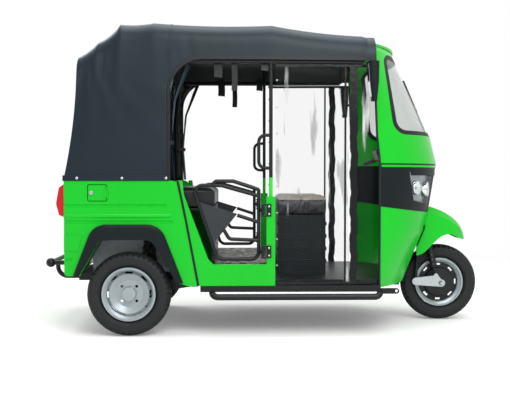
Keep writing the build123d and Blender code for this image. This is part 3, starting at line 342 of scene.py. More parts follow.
# %% Masked paint
def masked(base, name, hex_inside, centre, axes, edge):
    """Copy of a finish whose colour is hex_inside where |(p - centre) * axes| is under edge."""
    material = base.copy()
    material.name = name
    tree = material.node_tree
    body = next(node for node in tree.nodes if node.type == "BSDF_PRINCIPLED")
    outside = body.inputs["Base Color"].links[0].from_socket
    where = add(tree, "ShaderNodeTexCoord").outputs["Object"]
    offset = add(tree, VECTOR, {0: where, 1: centre}, operation="SUBTRACT")
    flat = add(tree, VECTOR, {0: offset.outputs[0], 1: axes}, operation="MULTIPLY")
    reach = add(tree, VECTOR, {0: flat.outputs[0]}, operation="LENGTH")
    inside = add(tree, MATH, {0: reach.outputs["Value"], 1: edge}, operation="LESS_THAN")
    both = add(tree, MIX, {0: inside.outputs[0], 6: outside, 7: linear(hex_inside)}, data_type="RGBA")
    tree.links.new(both.outputs[2], body.inputs["Base Color"])
    return material


UPRIGHT = (0, 0, 1)
FRONT_HUB = (1.125, 0, 0.25)
# Powder coat above the belt, the body's green below it: one tube in two paints
PILLAR = masked(FINISH["black_steel"], "masked_pillar_paint", "#20D031", (0, 0, 0), UPRIGHT, edge=0.944)
# Silver rim, and the black of the brake drum inside it
FRONT_WHEEL = masked(FINISH["rim_silver"], "masked_front_wheel", "#15181A", FRONT_HUB, (1, 0, 1), edge=0.132)
print("masked:", PILLAR.name, FRONT_WHEEL.name)

# %% [markdown]
# ## See-through finishes
# Curtain film is soft PVC: clear, a little grey, with creases along which bright glints are painted. Glass is
# flatter and clearer, with faint patches of painted reflection. Both are thin, so a low alpha with gloss
# reads better than true refraction.

# %% Clear finishes
# A stretched, leaning noise bumps the sheet in creases and places the painted glints along them
CREASE_AND_GLINT_LEAN, CREASE_AND_GLINT_STRETCH = 0.3, 0.12
# Painted glint: the sheet turns paler and more opaque as that noise rises from the first value to the second
GLINT_FROM, GLINT_FULL = 0.61, 0.70
CREASE_DEPTH_MM = 2
CLEAR_IOR = 1.5


def make_clear(name, tints, alpha, crease_and_glint_mm, glint_alpha, rough):
    """Thin clear sheet, grey and faint; stretched noise bumps creases and paints glints in the paler tint."""
    material, tree = new_tree(name)
    where = add(tree, "ShaderNodeTexCoord").outputs["Object"]
    turned = add(tree, "ShaderNodeMapping", {
        "Vector": where, "Rotation": (0, CREASE_AND_GLINT_LEAN, 0), "Scale": (1, 1, CREASE_AND_GLINT_STRETCH)}).outputs[0]
    noise = add(tree, NOISE, {"Vector": turned, "Scale": 1 / (crease_and_glint_mm * MM), "Detail": 3.0}).outputs[0]
    # Painted glint mask: paler tint and higher alpha where the noise is high, standing in for a highlight
    line = add(tree, RANGE, {"Value": noise, "From Min": GLINT_FROM, "From Max": GLINT_FULL}).outputs[0]
    cover = add(tree, RANGE, {"Value": line, "To Min": alpha, "To Max": glint_alpha})
    bump = add(tree, "ShaderNodeBump", {
        "Height": noise, "Distance": CREASE_DEPTH_MM * MM, "Strength": 0.4})
    tint = add(tree, MIX, {0: line, 6: linear(tints[0]), 7: linear(tints[1])}, data_type="RGBA")
    sheet = add(tree, "ShaderNodeBsdfPrincipled", {
        "Base Color": tint.outputs[2], "Alpha": cover.outputs[0], "Normal": bump.outputs[0],
        "Roughness": rough, "IOR": CLEAR_IOR, SPECULAR: 0.6})
    add(tree, "ShaderNodeOutputMaterial", {"Surface": sheet.outputs[0]})
    return material


# Soft PVC film, calendered: almost nothing to see but upright creases, with pale painted glints along them
FINISH["clear_film"] = make_clear(
    "soft_clear_film", ("#4A5152", "#F2F5F3"), alpha=0.025, crease_and_glint_mm=75, glint_alpha=0.42, rough=0.06)
# Laminated float glass: flat, with an even grey-green veil and broad, faint patches of painted reflection
FINISH["screen_glass"] = make_clear(
    "laminated_glass", ("#A9B4AC", "#C4CCC5"), alpha=0.24, crease_and_glint_mm=600, glint_alpha=0.32, rough=0.02)
# Moulded polycarbonate: clear and glossy, with faint flow lines in its bump and pale painted glints along
# them
FINISH["lamp_lens"] = make_clear(
    "clear_lamp_moulding", ("#AEB8BC", "#F0F4F6"), alpha=0.1, crease_and_glint_mm=60, glint_alpha=0.3, rough=0.05)
print(len(FINISH), "slots have a finish")

# %% [markdown]
# ## Dress the rigid parts
# The record names a finish for every part of the measured model. Three parts differ from their slot: the two
# that are masked, and the wheel-arch liners, which lie in deep shade and take the lining's black as painted
# shade.

# %% Finishes on the measured parts
for part in frame["record"]["subparts"]:
    skin = NODES[part["node"]].data.materials
    skin.clear()
    skin.append(FINISH[part["material_slot"]])
# The wheel-arch liners take the lining's black as painted shade
for node, finish in (("b_pillars", PILLAR), ("front_rim", FRONT_WHEEL), ("wheel_liners", LINING_AND_SHADE)):
    NODES[node].data.materials[0] = finish
print("finishes on", len(NODES), "nodes")

# %% [markdown]
# ## Shaping tools
# Three ways to make a surface cover everything below: a grid of points over two parameters, a profile carried
# along a path (piping, hems, trims), and a profile spun about an axis (studs, bowls, nuts).

# %% Surfaces from two parameters
def grid_faces(rows, cols, wrap_rows=False, wrap_cols=False):
    """Quads between neighbours of a rows x cols grid of points, joined round where wrapped."""
    row = np.arange(rows if wrap_rows else rows - 1)
    col = np.arange(cols if wrap_cols else cols - 1)
    row, col = np.meshgrid(row, col, indexing="ij")
    down, on = (row + 1) % rows, (col + 1) % cols
    corners = [row * cols + col, row * cols + on, down * cols + on, down * cols + col]
    return np.stack(corners, axis=-1).reshape(-1, 4).tolist()


def unit(vectors):
    """Vectors scaled to length 1."""
    vectors = np.asarray(vectors, float)
    return vectors / np.linalg.norm(vectors, axis=-1, keepdims=True)


def carried(path, profile, rise, closed=False):
    """Profile (s, u) along a path: point = path + side * s + up * u, with side = tangent x rise.

    The ends of an open path are capped."""
    path = np.asarray(path, float)
    step = np.roll(path, -1, axis=0) - np.roll(path, 1, axis=0) if closed else np.gradient(path, axis=0)
    along = unit(step)
    side = unit(np.cross(along, np.broadcast_to(np.asarray(rise, float), path.shape)))
    up = np.cross(side, along)
    s, u = np.asarray(profile, float).T
    points = path[:, None] + side[:, None] * s[:, None] + up[:, None] * u[:, None]
    count = len(profile)
    faces = grid_faces(len(path), count, closed, True)
    if not closed:
        last = len(path) * count
        faces += [list(range(count)), list(range(last - count, last))]
    return points.reshape(-1, 3), faces


def spun(profile, centre, axis, sides=32):
    """Profile (r, h) about an axis: point = centre + axis * h + (a cos u + b sin u) * r."""
    axis = unit(axis)
    a = unit(np.cross(axis, (0.3, 0.5, 0.8)))
    b = np.cross(axis, a)
    turn = np.linspace(0, 2 * np.pi, sides, endpoint=False)[:, None]
    ring = a * np.cos(turn) + b * np.sin(turn)
    r, h = np.asarray(profile, float).T
    points = np.asarray(centre, float) + ring[:, None] * r[:, None] + axis * h[:, None]
    return points.reshape(-1, 3), grid_faces(sides, len(profile), True, False)


print("a 3 x 3 grid has", len(grid_faces(3, 3)), "faces")

# %% [markdown]
# ## Profiles
# Tape is flat with eased edges, rubber beading is round, and a rivet or stud is a low dome.

# %% Tape, beading and stud profiles
def strip(width, thick):
    """Profile of a flat band with eased edges, lying on u = 0."""
    half, ease = width / 2, min(width, thick) * 0.35
    return [(-half, 0), (-half, thick - ease), (-half + ease, thick),
            (half - ease, thick), (half, thick - ease), (half, 0)]


def round_bar(radius, sides=12):
    """Profile of a round cord."""
    turn = np.linspace(0, 2 * np.pi, sides, endpoint=False)
    return np.column_stack([radius * np.cos(turn), radius * np.sin(turn)])


def dome(radius, height):
    """Profile of a rivet or stud head, r = radius cos u and h = height sin u, closed underneath."""
    angle = np.linspace(np.pi / 2, 0, 7)
    foot = [(radius * 0.9, -height * 0.3), (0, -height * 0.3)]
    return [*zip(radius * np.cos(angle), height * np.sin(angle)), *foot]


print("profiles of", len(strip(0.02, 0.003)), len(round_bar(0.007)), len(dome(0.009, 0.005)), "points")

# %% [markdown]
# ## From points to a piece
# A piece may be welded from several surfaces. Doubles are merged and the normals turned outward before an
# open sheet is given its thickness, because afterwards the inner wall would be turned round too.

# %% Pieces and sheets
MERGE, DEGENERATE = 1e-5, 1e-6


def make_piece(name, parts, material, body="chassis", crease=40):
    """One object from (points, faces) parts: doubles merged, normals outward, smooth except at creases."""
    starts = np.cumsum([0] + [len(points) for points, _ in parts])
    faces = [[i + start for i in face] for start, (_, quads) in zip(starts, parts) for face in quads]
    mesh = bpy.data.meshes.new(name)
    mesh.from_pydata(np.vstack([points for points, _ in parts]).tolist(), [], faces)
    work = bmesh.new()
    work.from_mesh(mesh)
    bmesh.ops.remove_doubles(work, verts=work.verts, dist=MERGE)
    bmesh.ops.dissolve_degenerate(work, edges=work.edges, dist=DEGENERATE)
    bmesh.ops.recalc_face_normals(work, faces=work.faces)
    work.to_mesh(mesh)
    work.free()
    mesh.materials.append(material)
    mesh.shade_smooth()
    mesh.set_sharp_from_angle(angle=np.radians(crease))
    piece = bpy.data.objects.new(name, mesh)
    bpy.context.scene.collection.objects.link(piece)
    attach(piece, body)
    return piece


def thicken(piece, thick, outward):
    """Give an open sheet its thickness; outward is a direction that most of its faces look towards."""
    mesh = piece.data
    normals = np.empty(len(mesh.polygons) * 3)
    mesh.polygons.foreach_get("normal", normals)
    if (normals.reshape(-1, 3) @ np.asarray(outward, float)).sum() < 0:
        mesh.flip_normals()
    shell = piece.modifiers.new("thickness", "SOLIDIFY")
    shell.thickness = thick
    shell.offset = -1
    return shell


print("points closer than", MERGE / MM, "mm are merged")

# %% [markdown]
# ## Canopy sections
# Coated cloth is pulled over steel bows. Between two bows it can only sag, so each span is drawn in by
# 4 f (1 - f) of its dip, and the bows stay as ridges. The back wall leans and is pulled hollow. A section of
# the canopy is one line: up the left wall, round the corner, over the roof and down the right wall.

# %% Canopy sections
BELT = 0.926
CORNER = 0.110
# foot x, top x, top z and half width at each bow and at the front edge, from back to front
BOWS = np.array([
    (-1.245, -1.163, 1.663, 0.62), (-1.100, -1.044, 1.751, 0.62), (-0.950, -0.914, 1.858, 0.62),
    (-0.715, -0.715, 1.867, 0.62), (-0.014, -0.014, 1.855, 0.62), (0.533, 0.533, 1.798, 0.59),
    (0.611, 0.611, 1.780, 0.58)])
DIPS = np.array([0.007, 0.012, 0.006, 0.010, 0.009, 0.0])
HOLLOW = 0.021
ARC = np.radians(np.linspace(0, 90, 9))
ROOF = 31


def bow_at(t):
    """Sizes of the canopy at station t (bow number plus fraction): straight between two bows."""
    i = np.clip(t.astype(int), 0, len(DIPS) - 1)
    f = (t - i)[:, None]
    foot, top_x, top_z, half = (BOWS[i] * (1 - f) + BOWS[i + 1] * f).T[:, :, None]
    rise = np.hypot(top_x - foot, top_z - BELT)
    dip = DIPS[i][:, None] * 4 * f * (1 - f)
    return foot, half, rise, (top_x - foot) / rise, (top_z - BELT) / rise, dip


def wall_top(t):
    """Height where the side wall turns into the corner arc."""
    _, _, rise, _, climb, _ = bow_at(t)
    return BELT + climb * (rise - CORNER)


def section(t, wall_z):
    """Canopy outline at stations t: left wall at heights wall_z, corner arc, roof, right arc, right wall.

    x = foot + lean * up + hollow, z = BELT + climb * up - dip * share ** 4, with share = up / rise."""
    foot, half, rise, lean, climb, dip = bow_at(t)
    wall = (wall_z - BELT) / climb
    bend = (rise - CORNER + CORNER * np.sin(ARC))[:, 1:]
    inset = (CORNER * (1 - np.cos(ARC)))[1:]
    across = np.linspace(1, -1, ROOF)[1:-1] * (half - CORNER)
    up = np.hstack([wall, bend, rise + 0 * across, bend[:, ::-1], wall[:, ::-1]])
    y = np.hstack([half + 0 * wall, half - inset, across, inset[::-1] - half, -half + 0 * wall])
    share = up / rise
    y = y * (1 - 0.9 * dip / half * share ** 3)
    hollow = HOLLOW * np.clip(1 - t, 0, 1)[:, None] * 4 * share * (1 - share)
    return np.stack([foot + lean * up + hollow, y, BELT + climb * up - dip * share ** 4], axis=-1)


print(len(BOWS), "bows and edges, highest", BOWS[:, 2].max(), "m")

# %% [markdown]
# ## Rear of the canopy
# Behind the doorway the cloth reaches down to the belt. The heights of its wall points are chosen so that the
# rear window and the doorway's round corner fall on lines of the grid.

# %% Rear sections
DOOR_BACK, DOOR_TOP, DOOR_ROUND = -0.624, 1.649, 0.2
WINDOW_LOW, WINDOW_HIGH = 1.25, 1.52
ROUND_Z = DOOR_TOP - DOOR_ROUND
JOIN = 3 + (DOOR_BACK - BOWS[3, 0]) / (BOWS[4, 0] - BOWS[3, 0])

lower = np.concatenate([np.linspace(BELT, WINDOW_LOW, 9)[:-1], np.linspace(WINDOW_LOW, ROUND_Z, 6)[:-1],
                        np.linspace(ROUND_Z, WINDOW_HIGH, 3)[:-1]])
rear_t = np.concatenate([np.linspace(0, 1, 11)[:-1], np.linspace(1, 2, 11)[:-1], np.linspace(2, 3, 11)[:-1],
                         np.linspace(3, JOIN, 5)])
upper = WINDOW_HIGH + (wall_top(rear_t) - WINDOW_HIGH) * np.linspace(0, 1, 4)
rear_z = np.hstack([np.broadcast_to(lower, (len(rear_t), len(lower))), upper])
rear = section(rear_t, rear_z)
print("rear of the canopy:", rear.shape[0], "stations of", rear.shape[1], "points")

# %% [markdown]
# ## Roof over the doorway
# The roof starts from the same points where the rear part ends, so the two weld. Its lower edge follows the
# doorway: round the rear corner, then level to the front.

# %% Roof sections
CORNER_STEPS = 13

join_z = rear_z[-1, len(lower) - 2:]
knots = (join_z - ROUND_Z) / (join_z[-1] - ROUND_Z)
turn = np.radians(np.linspace(0, 90, CORNER_STEPS))
corner_x = DOOR_BACK + DOOR_ROUND * (1 - np.cos(turn))
front_x = np.concatenate([corner_x, np.linspace(corner_x[-1], BOWS[4, 0], 12)[1:],
                          np.linspace(BOWS[4, 0], BOWS[5, 0], 16)[1:],
                          np.linspace(BOWS[5, 0], BOWS[6, 0], 4)[1:]])
level_top = np.full(len(front_x) - CORNER_STEPS, DOOR_TOP)
front_low = np.concatenate([ROUND_Z + DOOR_ROUND * np.sin(turn), level_top])
front_t = np.interp(front_x, BOWS[:, 0], np.arange(len(BOWS)))
roof = section(front_t, front_low[:, None] + (wall_top(front_t) - front_low[:, None]) * knots)
print("roof over the doorway:", roof.shape[0], "stations of", roof.shape[1], "points")

# %% [markdown]
# ## Folds
# The cloth keeps folds from being rolled down. They fan out of the rear upper corner as shallow waves and
# fade with height and distance, and finer ripples run above the doorway. Cloth can only be drawn in, so both
# push the side walls inwards.

# %% Folds
FAN_X, FAN_Z = -1.10, 1.70
FAN_WAVES, FAN_DEPTH = 9, 0.003
RIPPLE_DEPTH = 0.0015


def folds(points):
    """Draw side walls in by |FAN_DEPTH sin(9 angle)| round the fan's corner, and by ripples in x and z."""
    x, y, z = points.T
    down, back = FAN_Z - z, x - FAN_X
    angle = np.arctan2(back, np.maximum(down, 0.02))
    near = np.exp(-((np.hypot(back, down) - 0.25) / 0.3) ** 2)
    on_wall = np.clip((np.abs(y) - 0.55) / 0.07, 0, 1)
    fade = on_wall * np.clip((z - BELT) / 0.25, 0, 1) * near
    wave = FAN_DEPTH * np.sin(FAN_WAVES * angle) * fade
    forward = np.clip((0.70 + x) / 0.2, 0, 1) * np.clip((np.abs(y) - 0.5) / 0.1, 0, 1)
    ripple = RIPPLE_DEPTH * np.sin(34 * x + 9 * z) * forward
    return np.column_stack([x, y - np.sign(y) * (np.abs(wave) + np.abs(ripple)), z])


moved = np.abs(folds(rear.reshape(-1, 3)) - rear.reshape(-1, 3)).max()
print("folds are up to", round(moved / MM, 1), "mm deep")

# %% [markdown]
# ## Canopy cloth and rear window
# The back wall repeats the line of the rearmost section across the width, so it welds too. A window of clear
# film takes the place of the faces in its middle. The cloth is black inside: its inner skin is the lining,
# and its black is partly painted shade on the ceiling.

# %% Canopy and window
CLOTH_THICK, FILM_THICK = 0.004, 0.002
WINDOW_FIRST_ROW, WINDOW_HALF_COLS = 8, 8

edge = rear[0, :rear_z.shape[1] + len(ARC) - 1]
back_wall = xyz(edge[:, :1], np.outer(edge[:, 1], np.linspace(1, -1, ROOF)), edge[:, 2:])
wall_points = back_wall.reshape(-1, 3)
wall_faces = np.array(grid_faces(len(edge), ROOF))
row, col = np.divmod(np.arange(len(wall_faces)), ROOF - 1)
in_height = (row >= WINDOW_FIRST_ROW) & (row < len(lower))
is_window = in_height & (np.abs(col - (ROOF - 2) / 2) < WINDOW_HALF_COLS)
canopy = make_piece("canopy_cloth", [
    (folds(rear.reshape(-1, 3)), grid_faces(*rear.shape[:2])),
    (folds(roof.reshape(-1, 3)), grid_faces(*roof.shape[:2])),
    (folds(wall_points), wall_faces[~is_window].tolist())], FINISH["canopy_vinyl"], crease=60)
# The inner skin takes the lining's black, partly painted shade on the cabin's ceiling
canopy.data.materials.append(LINING_AND_SHADE)
thicken(canopy, CLOTH_THICK, (0, 0, 1)).material_offset = 1
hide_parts("canopy")
window = make_piece("rear_window_film", [(wall_points, wall_faces[is_window].tolist())],
                    FINISH["clear_film"])
thicken(window, FILM_THICK, (-1, 0, 0))
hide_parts("rear_window")
print("canopy faces", len(canopy.data.polygons), "window faces", len(window.data.polygons))

# %% [markdown]
# ## Canopy hem
# The cloth ends in a doubled hem along the belt, a flat band carried along both sides and the back.

# %% Hem
SIDES = {-1: "right", 1: "left"}
HEM_Z, HEM_HALF, HEM_BACK = 0.940, 0.6195, -1.2445
HEM = strip(0.034, 0.005)

hem_x = np.linspace(BOWS[0, 0], DOOR_BACK, 20)
hem_y = np.linspace(-0.622, 0.622, 30)
hem = [carried(xyz(hem_x, side * HEM_HALF, HEM_Z), HEM, (0, side, 0)) for side in SIDES]
hem.append(carried(xyz(HEM_BACK, hem_y, HEM_Z), HEM, (-1, 0, 0)))
hem_piece = make_piece("canopy_hem", hem, FINISH["canopy_vinyl"])
print("hem of", len(hem), "runs,", round(2 * np.ptp(hem_x) + np.ptp(hem_y), 2), "m")

# %% [markdown]
# ## Canopy seams and bindings
# A tape binds the doorway's edge, a sewn seam runs over the roof at its rear corner, and a wide strap and a
# hanging flap close the gap between the front edge and the header.

# %% Seams, bindings and front flap
SEAM_X, FRONT_STRAP_X = -0.612, 0.572
FLAP_ROWS, FLAP_GAP, FLAP_DROP = 6, 0.003, 0.32
FLAP_FROM_Z = 1.70


def outline_over(t, low):
    """Canopy outline at station t, from one edge of the doorway at height low over the roof to the other."""
    return section(t, low + (wall_top(t) - low) * knots)[0]


def over_roof(x, width, thick):
    """Band over the roof at one x, from doorway edge to doorway edge."""
    t = np.interp([x], BOWS[:, 0], np.arange(len(BOWS)))
    path = outline_over(t, np.interp(x, front_x, front_low))
    return carried(path, strip(width, thick), path - (x, 0, 1.1))


def doorway_edge(side, width, thick):
    """Tape up the doorway's back edge, round its corner and along its top."""
    up_z = np.linspace(BELT, ROUND_Z, 8)[:-1]
    x = np.concatenate([np.full(len(up_z), DOOR_BACK), front_x])
    z = np.concatenate([up_z, front_low])
    half = np.interp(x, BOWS[:, 0], BOWS[:, 3])
    return carried(xyz(x, side * half, z), strip(width, thick), (0, side, 0))


bindings = [doorway_edge(side, width=0.02, thick=0.0035) for side in SIDES]
bind_piece = make_piece("canopy_bindings", bindings, TAPE)
seams = [over_roof(SEAM_X, width=0.016, thick=0.0025),
         over_roof(FRONT_STRAP_X, width=0.07, thick=0.003)]
seam_piece = make_piece("canopy_seams", seams, FINISH["canopy_vinyl"])
lip = outline_over(np.array([len(BOWS) - 1.0]), front_low[-1])
tuck = xyz(0, -0.04 * lip[:, 1], np.clip(lip[:, 2] - FLAP_FROM_Z, 0, 1) * -FLAP_DROP)
valance = lip - (FLAP_GAP, 0, 0) + np.linspace(0, 1, FLAP_ROWS)[:, None, None] * tuck
front_flap = make_piece("canopy_front_flap", [(valance.reshape(-1, 3), grid_faces(FLAP_ROWS, len(lip)))],
                        TAPE)
thicken(front_flap, 0.002, (1, 0, 0))
print(len(bindings), "bindings,", len(seams), "seams and a flap of", len(lip), "columns")

# %% [markdown]
# ## Canopy studs
# The hem presses on plated studs, three a side and four behind. A stud is a low dome, spun.

# %% Studs
STUD = dome(0.009, 0.005)
STUD_HALF, STUD_BACK = 0.6248, -1.2496
STUD_X, STUD_Y = (-1.165, -0.9, -0.64), (-0.48, -0.16, 0.16, 0.48)

studs = [spun(STUD, (x, side * STUD_HALF, HEM_Z), (0, side, 0)) for x in STUD_X for side in SIDES]
studs += [spun(STUD, (STUD_BACK, y, HEM_Z), (-1, 0, 0)) for y in STUD_Y]
make_piece("canopy_studs", studs, FINISH["bright_steel"])
print(len(studs), "studs")

# %% [markdown]
# ## Window frame, and the size of the cloth
# A frame of tape holds the window. With the canopy complete, the area of each of its faces is read.

# %% Window frame and the size of the cloth
WINDOW_HALF = 0.331

window_z = (WINDOW_LOW, WINDOW_HIGH)
low_x, high_x = np.interp(window_z, back_wall[:, 0, 2], back_wall[:, 0, 0])
ring = np.array([(low_x, -WINDOW_HALF, WINDOW_LOW), (high_x, -WINDOW_HALF, WINDOW_HIGH),
                 (high_x, WINDOW_HALF, WINDOW_HIGH), (low_x, WINDOW_HALF, WINDOW_LOW)])
frame_runs = [np.linspace(start, end, 12) for start, end in zip(ring, np.roll(ring, -1, axis=0))]
make_piece("window_binding", [carried(run, strip(0.03, 0.003), (-1, 0, 0.1)) for run in frame_runs],
           TAPE)
areas = np.empty(len(canopy.data.polygons))
canopy.data.polygons.foreach_get("area", areas)

# %% [markdown]
# ## Driver's curtains
# Clear film hangs from the roof rail to the sill beside the driver. It is stiff, so it waves slowly, and
# painted glints run down it in streaks. Black tape welds the panels together and hems top and bottom; the
# wide tape is puckered by its weld. Press studs hold the rear edge to the pillar.

# %% Clear side curtains
CURTAIN_X, CURTAIN_Z = (0.0063, 0.597), (0.3003, 1.6177)
CURTAIN_REAR_HALF, CURTAIN_TAPER, CURTAIN_WAVE = 0.6055, 0.034, 0.003
TAPE_LIFT, TAPE_THICK = 0.0007, 0.003
POPPER_X = 0.016


def curtain_y(x, z):
    """Distance of the film from the centre line: straight from pillar to cowl, with slow waves of 3 mm."""
    u = (x - CURTAIN_X[0]) / np.ptp(CURTAIN_X)
    v = (z - CURTAIN_Z[0]) / np.ptp(CURTAIN_Z)
    wave = CURTAIN_WAVE * np.sin(2 * np.pi * (2.5 * u + 0.35 * v)) * np.sin(np.pi * u) * np.sin(np.pi * v)
    return CURTAIN_REAR_HALF - CURTAIN_TAPER * u + wave


def tape(side, x, z, width):
    """Tape along points (x, z) of the film, on its outer face."""
    path = xyz(x, side * (curtain_y(x, z) + TAPE_LIFT), z)
    return carried(path, strip(width, TAPE_THICK), (0, side, 0))


down_z = np.linspace(0.31, 1.61, 60)
along_x = np.linspace(0.01, 0.593, 40)
pucker = 0.004 * np.sin(31 * down_z) + 0.002 * np.sin(83 * down_z)
grid_x, grid_z = np.meshgrid(np.linspace(*CURTAIN_X, 60), np.linspace(*CURTAIN_Z, 90))
for side, name in SIDES.items():
    points = xyz(grid_x, side * curtain_y(grid_x, grid_z), grid_z).reshape(-1, 3)
    film = make_piece(f"driver_curtain_{name}", [(points, grid_faces(*grid_x.shape))],
                      FINISH["clear_film"])
    thicken(film, 0.001, (0, side, 0))
    tapes = [tape(side, 0.426, down_z, width=0.012), tape(side, 0.478 + pucker, down_z, width=0.044),
             tape(side, along_x, 0.310, width=0.016), tape(side, along_x, 1.609, width=0.016)]
    bands = make_piece(f"curtain_tapes_{name}", tapes, GLOSSY_TAPE)
    if name == "right":
        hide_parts("driver_curtains")
poppers = [spun(dome(0.006, 0.004), (POPPER_X, side * (curtain_y(POPPER_X, z) + 0.0005), z), (0, side, 0))
           for z in np.linspace(0.42, 1.52, 8) for side in SIDES]
make_piece("curtain_poppers", poppers, FINISH["bright_steel"])
print("driver's curtains", film.dimensions[:], "with", len(tapes), "tapes a side")

# %% [markdown]
# ## Gathered curtains
# The passenger curtain is pushed back to the doorway's rear edge and tied. Pleats are a sine across the
# bundle; it is widest at the rail, narrowest at the tie. Cloth at the edges, film between them. A real bundle
# has more pleats than are drawn.

# %% Gathered curtains and ties
BUNDLE_BACK, BUNDLE_HALF = -0.7017, 0.587
BUNDLE_Z, BUNDLE_WIDTH = (0.926, 1.15, 1.4, 1.6177), (0.11, 0.095, 0.12, 0.21)
PLEATS, PLEAT_DEPTH = 4.5, 0.014
FILM_FROM, FILM_TO = 0.42, 0.86
TIE_X, TIE_Z, TIE_LONG, TIE_DEEP = -0.654, 1.15, 0.056, 0.0185
# one node of the measured model holds both bundles, and the right one stands for it
STOOD_FOR = {"right": ["gathered_curtains"], "left": []}
TIE_STRIP = [(-0.012, 0), (-0.012, 0.002), (0.012, 0.002), (0.012, 0)]


def bundle(side):
    """Pleated curtain: x = back edge + width(z) * u, y = 0.587 + 14 mm * sin(2 pi 4.5 u + drift)."""
    u, z = np.meshgrid(np.linspace(0, 1, 110), np.linspace(0.93, BUNDLE_Z[-1], 60))
    width = np.interp(z, BUNDLE_Z, BUNDLE_WIDTH)
    phase = 2 * np.pi * PLEATS * u + 1.3 * np.sin(5 * z)
    y = BUNDLE_HALF + PLEAT_DEPTH * np.sin(phase) + 0.002 * np.sin(17 * z + 9 * u)
    x = BUNDLE_BACK + width * u + 0.004 * np.cos(phase)
    return xyz(x, side * y, z)


for side, name in SIDES.items():
    shape = bundle(side)
    pleats = make_piece(f"gathered_curtain_{name}", [(shape.reshape(-1, 3), grid_faces(*shape.shape[:2]))],
                        FINISH["canopy_vinyl"], crease=80)
    pleats.data.materials.append(FINISH["clear_film"])
    middles = np.empty(len(pleats.data.polygons) * 3)
    pleats.data.polygons.foreach_get("center", middles)
    mid_x, _, mid_z = middles.reshape(-1, 3).T
    share = (mid_x - BUNDLE_BACK) / np.interp(mid_z, BUNDLE_Z, BUNDLE_WIDTH)
    is_film = (share > FILM_FROM) & (share < FILM_TO)
    pleats.data.polygons.foreach_set("material_index", is_film.astype(int))
    thicken(pleats, 0.001, (0, side, 0))
    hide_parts(*STOOD_FOR[name])
turn = np.linspace(0, 2 * np.pi, 48, endpoint=False)
ties = [carried(xyz(TIE_X + TIE_LONG * np.cos(turn), side * (BUNDLE_HALF + TIE_DEEP * np.sin(turn)), TIE_Z),
                TIE_STRIP, xyz(np.cos(turn), side * np.sin(turn), 0), closed=True) for side in SIDES]
make_piece("curtain_ties", ties, TAPE)

# %% [markdown]
# ## Roof straps
# Three short straps hang from the rail on each side, to tie the rolled curtain up. They are light and limp,
# so they sway a little instead of hanging like rods.

# %% Roof straps
STRAP_TOP, STRAP_HALF = 1.66, 0.583
# place along the rail, lower end and width of each strap
STRAPS = ((-0.337, 1.54, 0.05), (-0.24, 1.46, 0.035), (-0.06, 1.58, 0.045))

sway = 0.006 * np.sin(np.linspace(0, 2.4, 24))
for side, name in SIDES.items():
    for number, (x, low, width) in enumerate(STRAPS):
        path = xyz(x + sway, side * (STRAP_HALF - 0.5 * sway), np.linspace(STRAP_TOP, low, 24))
        strap = make_piece(f"roof_strap_{name}_{number}", [carried(path, strip(width, 0.002), (0, side, 0))],
                           TAPE)
print(len(STRAPS), "straps a side")

# %% [markdown]
# ## Tyres
# A tyre is a rounded ring, but what the eye reads is the tread: two grooves round the crown and slots across
# the shoulders. The section is a superellipse, and the tread is cut into it as a function of turn and width.
# Two thin ribs run round the side wall.

# %% Treaded tyres
TYRE_RADIUS, BEAD_RADIUS = 0.25, 0.161
SLOT_COUNT, TREAD_DEPTH, RIB_HEIGHT = 44, 0.006, 0.0012
# body, centre and width for each tyre of the measured model
TYRES = {"front_tyre": ("front_wheel", FRONT_HUB, 0.110),
         "rear_tyre_left": ("rear_wheel_left", (-0.865, 0.565, 0.25), 0.135),
         "rear_tyre_right": ("rear_wheel_right", (-0.865, -0.565, 0.25), 0.135)}


def tyre_ring(centre, width):
    """r = middle + half * |sin s| ** 0.6, y = width / 2 * |cos s| ** 0.8; the tread lowers the crown."""
    s = np.linspace(0, 2 * np.pi, 112, endpoint=False)
    turn = np.linspace(0, 2 * np.pi, 12 * SLOT_COUNT, endpoint=False)
    middle, half = (TYRE_RADIUS + BEAD_RADIUS) / 2, (TYRE_RADIUS - BEAD_RADIUS) / 2
    y = width / 2 * np.sign(np.cos(s)) * np.abs(np.cos(s)) ** 0.8
    r = middle + half * np.sign(np.sin(s)) * np.abs(np.sin(s)) ** 0.6
    share = np.abs(y) / (width / 2)
    crown = np.clip((np.sin(s) - 0.25) / 0.25, 0, 1)
    groove = np.exp(-((share - 0.34) / 0.07) ** 2)
    shoulder = np.clip((share - 0.46) / 0.08, 0, 1)
    wave = np.sin(SLOT_COUNT * turn[:, None] + 1.2 * np.sign(y) + 2.2 * share)
    slot = np.clip((wave - 0.35) / 0.25, 0, 1) * shoulder
    r = r - TREAD_DEPTH * crown * np.maximum(groove, slot)
    rib = RIB_HEIGHT * (np.exp(-((r - 0.181) / 0.002) ** 2) + np.exp(-((r - 0.217) / 0.0016) ** 2))
    y = y + np.sign(y) * rib * (1 - crown)
    around = turn[:, None]
    points = xyz(r * np.cos(around), y, r * np.sin(around)) + np.asarray(centre)
    return points.reshape(-1, 3), grid_faces(*r.shape, True, True)


for node, (body, centre, width) in TYRES.items():
    tyre = make_piece(node + "_treaded", [tyre_ring(centre, width)], FINISH["tyre"], body, crease=50)
    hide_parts(node)
print("tyre faces", len(tyre.data.polygons))

# %% [markdown]
# ## Cushions
# Seats are foam in sewn vinyl: flat below, swollen above, pulled in at the seams. Each starts as a slightly
# small block of even voxels, because it will swell and a cloth simulation needs faces of one size.

# %% Foam blocks
SHRINK = 0.006


